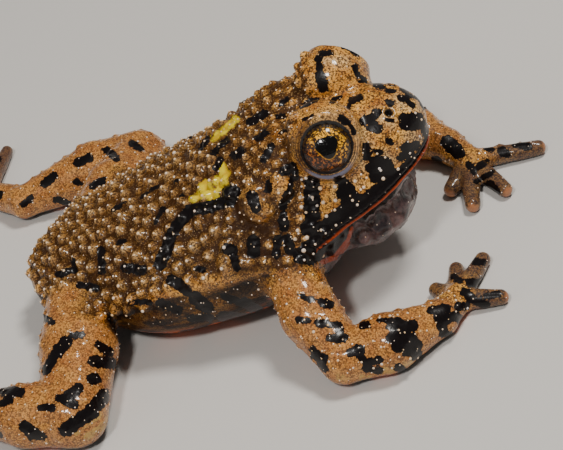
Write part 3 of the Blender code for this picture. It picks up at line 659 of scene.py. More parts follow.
def toe_webs(side):
    """Triangular sheets of skin between neighbouring toes."""
    root = mirrored(LEG_JOINTS[side_name(side)][-1][0], side)
    root[2] = WEB_HALF_THICKNESS + WEB_LIFT
    webs = []
    for near, far in zip(TOE_TIPS, TOE_TIPS[1:]):
        ends = []
        for x, y in (near, far):
            tip = mirrored((x, y, root[2]), side)
            ends.append(root + (tip - root) * WEB_REACH)
        webs.append((root, ends[0], ends[1]))
    return webs


LIMBS = [(arm_bones(side), []) for side in (-1, 1)]
LIMBS += [(leg_bones(side), toe_webs(side)) for side in (-1, 1)]
# A distance that stands for far away, how near a form a point has to be for the form to count, and
# the sharpest join
FAR = 50.0
BLEND_REACH = 2.5
SHARPEST_JOIN = 0.01


def limb_distance(points, bones, sheets):
    """Distance from a limb, worked out only for the points near each of its bones."""
    field = np.full(len(points), FAR)
    for start, end, start_radius, end_radius in bones:
        reach = np.linalg.norm(end - start) / 2.0 + start_radius + BLEND_REACH
        near = ball_distance(points, (start + end) / 2.0, reach) < 0.0
        bone = bone_distance(points[near], start, end, start_radius, end_radius)
        field[near] = blend(field[near], bone, LIMB_SOFTNESS)
    for corners in sheets:
        middle = sum(corners) / 3.0
        reach = max(np.linalg.norm(corner - middle) for corner in corners) + BLEND_REACH
        near = ball_distance(points, middle, reach) < 0.0
        sheet = sheet_distance(points[near], corners, WEB_HALF_THICKNESS)
        field[near] = blend(field[near], sheet, LIMB_SOFTNESS)
    return field


def with_forms(field, points, forms):
    """Blend ellipsoids into a form, each worked out only for the points near it."""
    field = field.copy()
    for centre, half_sizes, pitch, softness in forms:
        near = ball_distance(points, centre, max(half_sizes) + softness + BLEND_REACH) < 0.0
        form = ellipsoid_distance(points[near], centre, half_sizes, pitch)
        field[near] = blend(field[near], form, max(softness, SHARPEST_JOIN))
    return field


def above_mouth(points):
    """Height over the plane that holds the line of the mouth."""
    return points[:, 2] - (MOUTH_HEIGHT + MOUTH_RISE * points[:, 0])


def head_distance(points):
    field = with_forms(np.full(len(points), FAR), points, HEAD_FORMS)
    field = blend(field, lid_distance(points), LID_SOFTNESS)
    return field - LIP_HEIGHT * bell(above_mouth(points), LIP_WIDTH)


def above_ridge(points):
    """Height of points above the ridge along the body's side."""
    xs, heights = zip(*RIDGE)
    return points[:, 2] - np.interp(points[:, 0], xs, heights)


def ridge_share(points):
    """1 along the ridge, fading to 0 at both ends of it."""
    ahead = (points[:, 0] - RIDGE[0][0]) / RIDGE_FADE
    behind = (RIDGE[-1][0] - points[:, 0]) / RIDGE_FADE
    return np.clip(np.minimum(ahead, behind), 0.0, 1.0)


def ridge_relief(points):
    return RIDGE_HEIGHT * ridge_share(points) * bell(above_ridge(points), RIDGE_WIDTH)


def body_distance(points):
    mirror = folded(points)
    trunk = with_forms(np.full(len(points), FAR), mirror, TRUNK_FORMS)
    field = blend(head_distance(mirror), trunk, NECK_SOFTNESS) - ridge_relief(mirror)
    field = with_forms(field, mirror, THROAT_FORMS)
    for bones, sheets in LIMBS:
        field = blend(field, limb_distance(points, bones, sheets), LIMB_ROOT_SOFTNESS)
    return np.maximum(field, -points[:, 2])


def distance_and_slope(points):
    """Distance from the body and the direction in which it grows, from four places round each point."""
    distance = np.zeros(len(points))
    slope = np.zeros_like(points)
    for corner in ((1, -1, -1), (-1, -1, 1), (-1, 1, -1), (1, 1, 1)):
        shift = np.array(corner) * SLOPE_STEP
        value = body_distance(points + shift)
        distance += value / 4.0
        slope += value[:, None] * np.array(corner) / (4.0 * SLOPE_STEP)
    return distance, slope


# The mesh of the skin

def add_solid(mesh, make, place, **sizes):
    """Add one simple solid, made by itself first so that it stays apart from the others."""
    solid = bmesh.new()
    make(solid, matrix=place, **sizes)
    data = bpy.data.meshes.new("solid")
    solid.to_mesh(data)
    solid.free()
    mesh.from_mesh(data)
    bpy.data.meshes.remove(data)


def add_ellipsoid(mesh, centre, half_sizes, pitch):
    place = Matrix.Translation(Vector(centre)) @ Matrix.Rotation(math.radians(-pitch), 4, "Y")
    size = Matrix.Diagonal(Vector((*half_sizes[:3], 1.0)))
    around, down = BALL_PARTS
    add_solid(mesh, bmesh.ops.create_uvsphere, place @ size, u_segments=around, v_segments=down, radius=1.0)


def add_bone(mesh, start, end, start_radius, end_radius):
    along = Vector(end - start)
    turn = along.to_track_quat("Z", "Y").to_matrix().to_4x4()
    place = Matrix.Translation(Vector((start + end) / 2.0)) @ turn
    add_solid(mesh, bmesh.ops.create_cone, place, cap_ends=True, segments=BONE_PARTS,
              radius1=start_radius, radius2=end_radius, depth=along.length)
    for centre, radius in ((start, start_radius), (end, end_radius)):
        add_ellipsoid(mesh, centre, (radius, radius, radius), 0.0)


def add_sheet(mesh, corners, half_thickness):
    """A triangular plate, as a three-sided prism."""
    levels = []
    for height in (-half_thickness, half_thickness):
        levels.append([mesh.verts.new((c[0], c[1], c[2] + height)) for c in corners])
    bottom, top = levels
    mesh.faces.new(bottom)
    mesh.faces.new(top)
    for i in range(3):
        j = (i + 1) % 3
        mesh.faces.new((bottom[i], bottom[j], top[j], top[i]))


def body_blank():
    """Overlapping simple solids that fill the body, still apart from each other."""
    mesh = bmesh.new()
    for centre, half_sizes, pitch, _ in HEAD_FORMS + TRUNK_FORMS + THROAT_FORMS:
        for side in ((-1, 1) if centre[1] else (1,)):
            add_ellipsoid(mesh, mirrored(centre, side), half_sizes, pitch)
    for side in (-1, 1):
        add_ellipsoid(mesh, mirrored(EYE_PLACE, side), (LID_RADIUS,) * 3, 0.0)
    for bones, sheets in LIMBS:
        for bone in bones:
            add_bone(mesh, *bone)
        for corners in sheets:
            add_sheet(mesh, corners, WEB_HALF_THICKNESS)
    bmesh.ops.recalc_face_normals(mesh, faces=mesh.faces)
    return mesh


def object_from_bmesh(name, mesh):
    data = bpy.data.meshes.new(name)
    mesh.to_mesh(data)
    mesh.free()
    item = bpy.data.objects.new(name, data)
    bpy.context.scene.collection.objects.link(item)
    return item


def apply_modifiers(item):
    """Keep what the object's modifiers make as its own mesh."""
    graph = bpy.context.evaluated_depsgraph_get()
    data = bpy.data.meshes.new_from_object(item.evaluated_get(graph))
    old = item.data
    item.modifiers.clear()
    item.data = data
    bpy.data.meshes.remove(old)


def remesh(item, cell):
    modifier = item.modifiers.new("Cells", "REMESH")
    modifier.mode = "VOXEL"
    modifier.voxel_size = cell
    modifier.adaptivity = 0.0
    apply_modifiers(item)


def mesh_points(data):
    points = np.empty(len(data.vertices) * 3, dtype=np.float32)
    data.vertices.foreach_get("co", points)
    return points.reshape(-1, 3).astype(float)


def set_points(data, points):
    data.vertices.foreach_set("co", points.astype(np.float32).ravel())
    data.update()


def mesh_edges(data):
    edges = np.empty(len(data.edges) * 2, dtype=np.int32)
    data.edges.foreach_get("vertices", edges)
    return edges.reshape(-1, 2)


def evened(points, edges, share):
    """Move each vertex part of the way to the middle of its neighbours."""
    count = np.bincount(edges.ravel(), minlength=len(points))
    total = np.zeros_like(points)
    for axis in range(3):
        for here, there in ((0, 1), (1, 0)):
            weights = points[edges[:, there], axis]
            total[:, axis] += np.bincount(edges[:, here], weights=weights, minlength=len(points))
    return points * (1.0 - share) + total / np.maximum(count, 1)[:, None] * share


def settled(points, edges, shares, largest_step):
    """Bring vertices onto the smooth form, evening them out by each share in turn."""
    for share in shares:
        if share:
            points = evened(points, edges, share)
        distance, slope = distance_and_slope(points)
        steep = np.maximum((slope ** 2).sum(axis=1), LEAST_SLOPE)
        step = np.clip(distance / steep, -largest_step, largest_step)
        points = points - step[:, None] * slope
    points[:, 2] = np.maximum(points[:, 2], 0.0)
    return points


def fine_places(points):
    """Where the skin needs smaller faces: round the eyes, along the lips and at the nostrils."""
    mirror = folded(points)
    eyes = lid_distance(mirror) < FINE_ROUND_EYE
    nostrils = ball_distance(mirror, NOSTRIL_PLACE, FINE_BY_NOSTRIL) < 0.0
    return eyes | nostrils | (on_lips(points) & (np.abs(above_mouth(points)) < FINE_BY_LIP))


def mouth_share(points):
    """Distance from the middle of the mouth as a share of its reach."""
    ahead = (points[:, 0] - MOUTH_CENTRE_X) / MOUTH_REACH[0]
    return np.hypot(ahead, points[:, 1] / MOUTH_REACH[1])


def on_lips(points):
    """Whether points lie near the arc of the mouth, ahead of its corners."""
    share = mouth_share(points)
    return (share > LIP_SHARES[0]) & (share < LIP_SHARES[1]) & (points[:, 0] > MOUTH_ENDS_X)


def split_faces(item, wanted):
    """Split the faces between wanted vertices into four."""
    mesh = bmesh.new()
    mesh.from_mesh(item.data)
    edges = [edge for edge in mesh.edges if wanted[edge.verts[0].index] and wanted[edge.verts[1].index]]
    bmesh.ops.subdivide_edges(mesh, edges=edges, cuts=1, use_grid_fill=True)
    mesh.to_mesh(item.data)
    mesh.free()


def make_flesh(cell):
    """The smooth body as an object in millimetres."""
    flesh = object_from_bmesh("skin", body_blank())
    remesh(flesh, cell)
    points = settled(mesh_points(flesh.data), mesh_edges(flesh.data), SETTLING, cell)
    set_points(flesh.data, points)
    split_faces(flesh, fine_places(mesh_points(flesh.data)))
    points = settled(mesh_points(flesh.data), mesh_edges(flesh.data), SETTLING_SPLIT, cell)
    set_points(flesh.data, points)
    return flesh


# Relief of the skin: warts, lids, lips and nostrils

class Surface:
    """The settled skin: its points and normals, and a tree that finds those near a place."""

    def __init__(self, points):
        self.points = points
        _, slope = distance_and_slope(points)
        self.normals = slope / np.maximum(np.linalg.norm(slope, axis=1), TINY)[:, None]
        self.tree = KDTree(len(points))
        for index, point in enumerate(points):
            self.tree.insert(point, index)
        self.tree.balance()

    def near(self, place, reach):
        """Numbers of the points within reach of a place, and how far away they are."""
        found = self.tree.find_range(place, reach)
        indices = np.array([index for _, index, _ in found], dtype=int)
        return indices, np.array([away for _, _, away in found])


def wart_sizes(points, normals):
    """Smallest and largest radius of the warts at each point, their room and height, by region."""
    mirror = folded(points)
    x, y, z = mirror.T
    sizes = np.zeros((len(points), 4))
    up = normals[:, 2]
    over = above_ridge(mirror)
    on_thigh = (x < THIGH_ENDS_X) & (y > THIGH_BEGINS_Y)
    trunk = (y < LIMB_BEGINS_Y) & (x > RUMP_ENDS_X) & ~on_thigh
    sizes[~trunk & (up > LIMB_FACES_UP) & (z > LOWEST_WART) & (x > FOOT_BEGINS_X)] = LIMB_WARTS
    sizes[trunk & (over > 0.0) & (up > BACK_FACES_UP)] = BACK_WARTS
    nape = (x > NAPE_BEGINS_X) & (x < FACE_BEGINS_X) & (above_mouth(points) > NAPE_OVER_MOUTH)
    sizes[trunk & nape] = NAPE_WARTS
    sizes[(np.abs(over) < RIDGE_WIDTH) & (ridge_share(mirror) > RIDGE_WARTS_FROM) & trunk] = RIDGE_WARTS
    sizes[(x > FACE_BEGINS_X) & (y < LIMB_BEGINS_Y) & (z > LOWEST_FACE)] = 0.0
    sizes[lid_distance(mirror) < WARTLESS_ROUND_EYE] = 0.0
    return sizes


class Scatter:
    """Places with a radius that keep room round each other, found through a grid of cells."""

    def __init__(self, cell):
        self.cell = cell
        self.grid = {}

    def try_place(self, place, radius, room):
        home = tuple(int(math.floor(value / self.cell)) for value in place)
        for i in (-1, 0, 1):
            for j in (-1, 0, 1):
                for k in (-1, 0, 1):
                    for other, size in self.grid.get((home[0] + i, home[1] + j, home[2] + k), ()):
                        if math.dist(place, other) < (radius + size) * room:
                            return False
        self.grid.setdefault(home, []).append((place, radius))
        return True


def seen_place(tree, pixel):
    """Where the ray through a point of the picture meets the skin."""
    return tree.ray_cast(Vector(CAMERA_PLACE), Vector(picture_ray(pixel)))[0]


def scattered_warts(surface, tree):
    """Place, radius and height of each wart: those read off the picture, then the rest by region."""
    scatter = Scatter(WART_CELL)
    warts = []
    for x, y, radius in NAPE_READ:
        hit = seen_place(tree, (x, y))
        for place in (tuple(hit), (hit[0], -hit[1], hit[2])):
            scatter.try_place(place, radius, 0.0)
            warts.append((place, radius, radius * NAPE_WARTS[3]))
    sizes = wart_sizes(surface.points, surface.normals)
    draw = np.random.default_rng(SEED)
    order = draw.permutation(np.flatnonzero(sizes[:, 1] > 0.0))
    on_ridge = (sizes[order] == RIDGE_WARTS).all(axis=1)
    for index in order[np.argsort(~on_ridge, kind="stable")]:
        smallest, largest, room, rise = sizes[index]
        radius = smallest + (largest - smallest) * draw.random() ** WART_SIZE_POWER
        place = tuple(surface.points[index])
        if scatter.try_place(place, radius, room):
            warts.append((place, radius, radius * rise))
    return warts


def wart_relief(surface, warts, tree):
    """Height of the warts over the skin, and how near each point is to the top of one."""
    height = np.zeros(len(surface.points))
    swell = np.zeros(len(surface.points))
    for place, radius, rise in warts:
        index, away = surface.near(place, radius * WART_REACH)
        share = away / radius
        dome = np.clip(1.0 - share ** 2, 0.0, 1.0) ** WART_ROUNDNESS
        moat = MOAT_DEPTH * bell(share - MOAT_PLACE, MOAT_WIDTH)
        height[index] = np.maximum(height[index], dome * rise) - moat * radius
        swell[index] = np.maximum(swell[index], dome)
    for x, y, radius, rise in MOUNDS:
        hit = seen_place(tree, (x, y))
        for side in (-1, 1):
            index, away = surface.near((hit[0], -side * hit[1], hit[2]), radius)
            mound = np.clip(1.0 - (away / radius) ** 2, 0.0, 1.0)
            height[index] += rise * mound ** WART_ROUNDNESS
            swell[index] = np.maximum(swell[index], mound * MOUND_SWELL)
    return height, swell


def waviness(points, size, seed):
    """Smooth random waves of about the given size, from -1 to 1."""
    offset = Vector([seed * shift for shift in WAVE_SHIFT])
    return np.array([noise.noise(Vector(point) / size + offset) for point in points])


def eye_axes(side):
    """Right, up and the gaze of an eye as the picture shows it, mirrored for the far one."""
    gaze = unit(mirrored(EYE_GAZE, side))
    across = CAMERA_AXES[0] * np.array([1.0, -side, 1.0])
    across = unit(across - gaze * (across @ gaze))
    return across, np.cross(gaze, across) * -side, gaze


def lid_angles(points, side):
    """Place of each point round an eye: distance, angle from the gaze, share rightward and upward."""
    across, upward, gaze = eye_axes(side)
    local = points - mirrored(EYE_PLACE, side)
    away = np.linalg.norm(local, axis=1)
    local = local / np.maximum(away, TINY)[:, None]
    angle = np.degrees(np.arccos(np.clip(local @ gaze, -1.0, 1.0)))
    ring = np.maximum(np.hypot(local @ across, local @ upward), TINY)
    return away, angle, local @ across / ring, local @ upward / ring


def seat_lids(points, side):
    """Shape the skin round one eye: pressed in behind the ball, with a thick rounded rim."""
    centre = mirrored(EYE_PLACE, side)
    away, angle, _, upper = lid_angles(points, side)
    near = away < LID_RADIUS + LID_REACH
    share = np.clip((angle - EYE_OPENING) / LID_RIM, 0.0, 1.0)
    rise = np.sqrt(1.0 - (1.0 - share) ** 2)
    beyond = np.clip((angle - EYE_OPENING) / LID_RIM - 1.0, 0.0, None)
    rim = LID_RIM_HEIGHT * (1.0 + LID_RIM_UPPER * upper) * rise * np.exp(-beyond * LID_RIM_FALL)
    crease = LID_CREASE * bell(beyond - LID_CREASE_PLACE, LID_CREASE_WIDTH)
    inner = EYE_RADIUS - LID_DEPTH
    wanted = inner + (away - inner) * rise + rim - crease
    wanted = np.where(near & (angle < EYE_OPENING + LID_WIDEST * LID_RIM), wanted, away)
    return centre + (points - centre) * (wanted / np.maximum(away, TINY))[:, None]


def lip_relief(points):
    """Depth of the line of the mouth and height of the lips on both sides of it."""
    over = above_mouth(points)
    front = smooth(points[:, 0], MOUTH_ENDS_X, MOUTH_ENDS_X + MOUTH_FADE) * on_lips(points)
    height, distance, width = LIP_SWELLING
    return (height * bell(np.abs(over) - distance, width) - MOUTH_DEPTH * bell(over, MOUTH_WIDTH)) * front


def nostril_relief(points):
    share = ball_distance(folded(points), NOSTRIL_PLACE, 0.0) / NOSTRIL_RADIUS
    depth, width = NOSTRIL_PIT
    height, place, rim_width = NOSTRIL_RIM
    pit = depth * np.exp(-(share / width) ** 4)
    return (height * bell(share - place, rim_width) - pit) * NOSTRIL_RADIUS


def fine_relief(points, throat, ripple):
    """The skin's slow unevenness, the mouth, the nostrils and the folds of the throat."""
    waves = waviness(points, *WIDE_RIPPLE) + NARROW_SHARE * waviness(points, *NARROW_RIPPLE)
    folds = waviness(points * THROAT_STRETCH, *THROAT_WAVE)
    height = waves * ripple + lip_relief(points) + nostril_relief(points)
    return height + throat * THROAT_FOLDS * (1.0 - 2.0 * np.abs(folds))


# Markings

def stroke_inside(places, stroke):
    """How far inside a stroke each picture place is, in pixels. A stroke is a fat line."""
    start = np.array(stroke[0:2])
    along = np.array(stroke[2:4]) - start
    share = np.clip((places - start) @ along / max(along @ along, TINY), 0.0, 1.0)
    return stroke[4] - np.linalg.norm(places - (start + share[:, None] * along), axis=1)


class Marker:
    """Lays strokes read off the picture on the skin that the camera sees."""

    def __init__(self, points, normals, polygons):
        self.points = points
        self.places, self.depth = picture_places(points)
        self.tree = BVHTree.FromPolygons(points.tolist(), polygons)
        to_camera = np.array(CAMERA_PLACE) - points
        self.facing = (normals * to_camera).sum(axis=1) > 0.0

    def depth_at(self, pixel):
        """Distance in depth of the skin that shows at a point of the picture, if any does."""
        hit = seen_place(self.tree, pixel)
        return None if hit is None else picture_places(np.array([hit]))[1][0]

    def lay(self, strokes):
        """Signed distance in millimetres from the strokes' edge, above 0 inside."""
        inside = np.full(len(self.points), UNMARKED)
        scale = self.depth / FOCAL
        for stroke in strokes:
            x0, y0, x1, y1, _ = stroke
            ends = ((x0, y0), ((x0 + x1) / 2.0, (y0 + y1) / 2.0), (x1, y1))
            depths = [depth for depth in map(self.depth_at, ends) if depth is not None]
            if not depths:
                continue
            near = (self.depth > min(depths) - STROKE_DEPTH) & (self.depth < max(depths) + STROKE_DEPTH)
            near &= self.facing
            value = stroke_inside(self.places[near], stroke) * scale[near]
            inside[near] = np.maximum(inside[near], value)
        return inside

    def hidden(self, place):
        """Whether the camera doesn't see a place, or it is outside the picture."""
        pixel, depth = picture_places(np.array([place]))
        x, y = pixel[0]
        if not (0.0 < x < PICTURE[0] and 0.0 < y < PICTURE[1]):
            return True
        seen = self.depth_at((x, y))
        return seen is not None and seen < depth[0] - HIDDEN_DEPTH


def hidden_blotches(surface, marker):
    """Round black blotches on the skin that the camera doesn't see, as a distance above 0 inside."""
    inside = np.full(len(surface.points), UNMARKED)
    draw = np.random.default_rng(SEED + 1)
    scatter = Scatter(BLOTCH_CELL)
    upper = np.flatnonzero(surface.normals[:, 2] > BLOTCH_FACES_UP)
    for index in draw.choice(upper, BLOTCH_TRIES, replace=False):
        place = surface.points[index]
        radius = draw.uniform(*BLOTCH_RADII)
        round_it, _ = surface.near(place, radius * BLOTCH_ROUND)
        corners = [place, *surface.points[draw.choice(round_it, BLOTCH_LOOKS)]]
        if not all(marker.hidden(corner) for corner in corners):
            continue
        if not scatter.try_place(tuple(place), radius, BLOTCH_ROOM):
            continue
        for _ in range(BLOTCH_LOBES):
            lobe = place + draw.normal(0.0, radius * LOBE_SPREAD, 3)
            size = radius * draw.uniform(*LOBE_SIZES)
            near, away = surface.near(lobe, size + LOBE_REACH)
            inside[near] = np.maximum(inside[near], size - away)
    return inside


def smooth(value, low, high):
    """0 below low, 1 above high, and a soft step between them."""
    share = np.clip((value - low) / (high - low), 0.0, 1.0)
    return share * share * (3.0 - 2.0 * share)


def region_marks(points, normals):
    """Where the larger regions of colour lie, each from 0 to 1, and places round the eyes."""
    mirror = folded(points)
    x, y, z = mirror.T
    on_thigh = smooth(-x, *RUMP_STEP) * smooth(y, *THIGH_STEP)
    on_trunk = (1.0 - smooth(y, *SIDE_STEP)) * (1.0 - on_thigh)
    over = above_ridge(mirror)
    jaw_x, jaw_y, jaw_z = JAW_LIMITS
    jaw = (x > jaw_x) & (y < jaw_y) & (z > jaw_z)
    marks = {
        "back": smooth(-x, *BACK_STEPS[0]) * smooth(over, *BACK_STEPS[1]) * on_trunk,
        "limb": 1.0 - on_trunk,
        "flank": smooth(-x, *FLANK_STEPS[0]) * smooth(-over, *FLANK_STEPS[1]) * on_trunk,
        "belly": smooth(-normals[:, 2], *BELLY_STEP),
        "throat": smooth(-above_mouth(points), *THROAT_STEP) * jaw,
        "lid_out": np.full(len(points), ELSEWHERE),
        "lid_right": np.zeros(len(points)),
        "lid_up": np.zeros(len(points)),
    }
    for side in (-1, 1):
        away, angle, right, upper = lid_angles(points, side)
        near = away < LID_RADIUS + LID_MARKS_REACH
        marks["lid_out"][near] = (angle[near] - EYE_OPENING) / LID_RIM
        marks["lid_right"][near] = right[near]
        marks["lid_up"][near] = upper[near]
    return marks


def digit_marks(points):
    """How near each point is to the end of a finger or toe: as a share of it, and in millimetres."""
    share = np.zeros(len(points))
    inside = np.full(len(points), -ELSEWHERE)
    for bones, _ in LIMBS:
        for start, end, _, end_radius in bones[-MOST_DIGITS:]:
            # Only digits end at a height that is their own radius
            if end[2] == end_radius:
                away = ball_distance(points, end, 0.0)
                share = np.maximum(share, 1.0 - away / np.linalg.norm(end - start))
                along = (points - end) @ unit(end - start)
                tip = away < DIGIT_TIP_REACH * end_radius
                inside = np.where(tip, np.maximum(inside, along), inside)
    return np.clip(share, 0.0, 1.0), inside


def markings(surface, swell, marker, smooth_marker):
    """What the skin's material reads, besides the regions: warts, digits, strokes, and the painted shade
    along the line of the mouth and in the nostrils.
    """
    points = surface.points
    warty = wart_sizes(points, surface.normals)[:, 0] > LIMB_WARTS[0]
    # Painted shade in the hollows between the warts, and the swell that the painted highlight on their tops
    # follows
    marks = {"swell": swell, "hollow": (1.0 - smooth(swell, *HOLLOW_STEP)) * warty}
    marks["digit"], marks["tip"] = digit_marks(points)
    for name, strokes in STROKES.items():
        marks[name] = marker.lay(strokes)
    marks["ink"] = np.maximum(marks["ink"], hidden_blotches(surface, smooth_marker))

    over = above_mouth(points)
    lips = on_lips(points)
    for name, (below, half_width) in (("red", LIP_RED), ("ink", LIP_INK)):
        edge = np.where(lips, half_width - np.abs(over + below), UNMARKED)
        marks[name] = np.maximum(marks[name], edge)
    # Painted shade: black along the line of the mouth and in the nostrils' pits
    line = smooth(-np.abs(over), *MOUTH_BLACK) * lips
    pit = ball_distance(folded(points), NOSTRIL_PLACE, NOSTRIL_RADIUS * NOSTRIL_BLACK)
    marks["dark"] = np.maximum(line, smooth(-pit, *PIT_STEP))
    return marks


def store(data, name, values):
    attribute = data.attributes.new(name, "FLOAT", "POINT")
    attribute.data.foreach_set("value", values.astype(np.float32))


# Materials

class Value:
    """A socket of a node, so that sums on it are written as plain expressions."""

    def __init__(self, nodes, socket):
        self.nodes = nodes
        self.socket = socket

    def sum(self, operation, first, second=0.0, third=0.0, clamp=False):
        settings = {"operation": operation, "use_clamp": clamp}
        return self.nodes.value("ShaderNodeMath", settings, {0: first, 1: second, 2: third})

    def __add__(self, other):
        return self.sum("ADD", self, other)

    def __radd__(self, other):
        return self.sum("ADD", other, self)

    def __sub__(self, other):
        return self.sum("SUBTRACT", self, other)

    def __rsub__(self, other):
        return self.sum("SUBTRACT", other, self)

    def __mul__(self, other):
        return self.sum("MULTIPLY", self, other)

    def __rmul__(self, other):
        return self.sum("MULTIPLY", other, self)

    def __truediv__(self, other):
        return self.sum("DIVIDE", self, other)

    def __neg__(self):
        return self.sum("MULTIPLY", self, -1.0)

    def __abs__(self):
        return self.sum("ABSOLUTE", self)

    def __pow__(self, exponent):
        return self.sum("POWER", self, exponent)

    def root(self):
        return self.sum("SQRT", self)

    def sine(self):
        return self.sum("SINE", self)

    def larger(self, other):
        return self.sum("MAXIMUM", self, other)

    def over(self, edge, width):
        """0 below the edge and 1 above it, with a step of the given width."""
        return self.sum("MULTIPLY_ADD", self, 1.0 / width, 0.5 - edge / width, clamp=True)


class Nodes:
    """A tree of nodes. Inputs are values of other nodes, numbers or colours."""

    def __init__(self, tree):
        self.tree = tree

    def plug(self, socket, value):
        if isinstance(value, Value):
            self.tree.links.new(value.socket, socket)
        elif socket.type == "RGBA":
            socket.default_value = (*value, 1.0)
        else:
            socket.default_value = value

    def node(self, kind, settings=None, inputs=None):
        node = self.tree.nodes.new(kind)
        for key, value in (settings or {}).items():
            setattr(node, key, value)
        for key, value in (inputs or {}).items():
            self.plug(node.inputs[key], value)
        return node

    def value(self, kind, settings=None, inputs=None, output=0):
        """Add a node and go on with one of its outputs."""
        return Value(self, self.node(kind, settings, inputs).outputs[output])


class Paint(Nodes):
    """The nodes of one material round a Principled BSDF."""

    def __init__(self, name, settings):
        self.material = bpy.data.materials.new(name)
        self.material.use_nodes = True
        super().__init__(self.material.node_tree)
        self.shader = self.tree.nodes["Principled BSDF"]
        for socket, value in settings.items():
            self.drive(socket, value)

    def drive(self, name, value):
        self.plug(self.shader.inputs[name], value)

    def millimetres(self, stretch=(1.0, 1.0, 1.0)):
        place = self.value("ShaderNodeTexCoord", output="Object")
        scale = tuple(share / MM for share in stretch)
        return self.value("ShaderNodeVectorMath", {"operation": "MULTIPLY"}, {0: place, 1: scale})

    def attribute(self, name):
        return self.value("ShaderNodeAttribute", {"attribute_name": name}, output="Fac")

    def clouds(self, place, scale, detail=2.0, roughness=0.5, distortion=0.0):
        return self.value("ShaderNodeTexNoise", inputs={
            "Vector": place, "Scale": scale, "Detail": detail, "Roughness": roughness,
            "Distortion": distortion,
        })

    def grains(self, place, scale):
        return self.value("ShaderNodeTexVoronoi", None, {"Vector": place, "Scale": scale}, "Distance")

    def mix(self, share, first, second):
        return self.value("ShaderNodeMix", {"data_type": "RGBA"}, {0: share, 6: first, 7: second}, 2)

    def coats(self, ground, layers):
        """Lay colours over a ground, one after the other, each with its own share."""
        for share, coat in layers:
            ground = self.mix(share, ground, coat)
        return ground

    def bump(self, height, distance):
        inputs = {"Height": height, "Distance": distance, "Strength": 1.0}
        self.drive("Normal", self.value("ShaderNodeBump", inputs=inputs))


def lid_coats(mark, ragged, colours):
    """The lids' rims: darker at the back as painted shade, wrinkled before with painted shade in the
    creases of their folds, and a blue crescent under the eye.
    """
    out = mark["lid_out"] + ragged * 0.12
    right = mark["lid_right"]
    upper = mark["lid_up"]
    on_rim = 1.0 - out.over(0.9, 0.2)
    # Painted shade in the creases of the folds round the rim
    wrinkle_shade = (out * 22.0).sine().over(0.3, 0.8) * on_rim
    # Painted shade at the back of the eye
    behind = (-right).over(0.5, 0.4) * (1.0 - out.over(1.1, 0.9))
    outer_edge = (out - right * 0.3).over(0.9, 0.15)
    crescent = (-upper).over(0.58, 0.25) * out.over(0.34, 0.1) * (1.0 - outer_edge)
    return [
        (on_rim * right.over(0.1, 0.5) * 0.4, colours.lid_tan),
        (wrinkle_shade * (0.9 - upper.over(0.3, 0.6) * 0.8), colours.ink),
        (behind * 0.7, colours.umber_and_shade),
        (crescent * (right + 1.0).over(0.4, 0.3), colours.lid),
        (1.0 - out.over(0.25, 0.08), colours.ink),
    ]


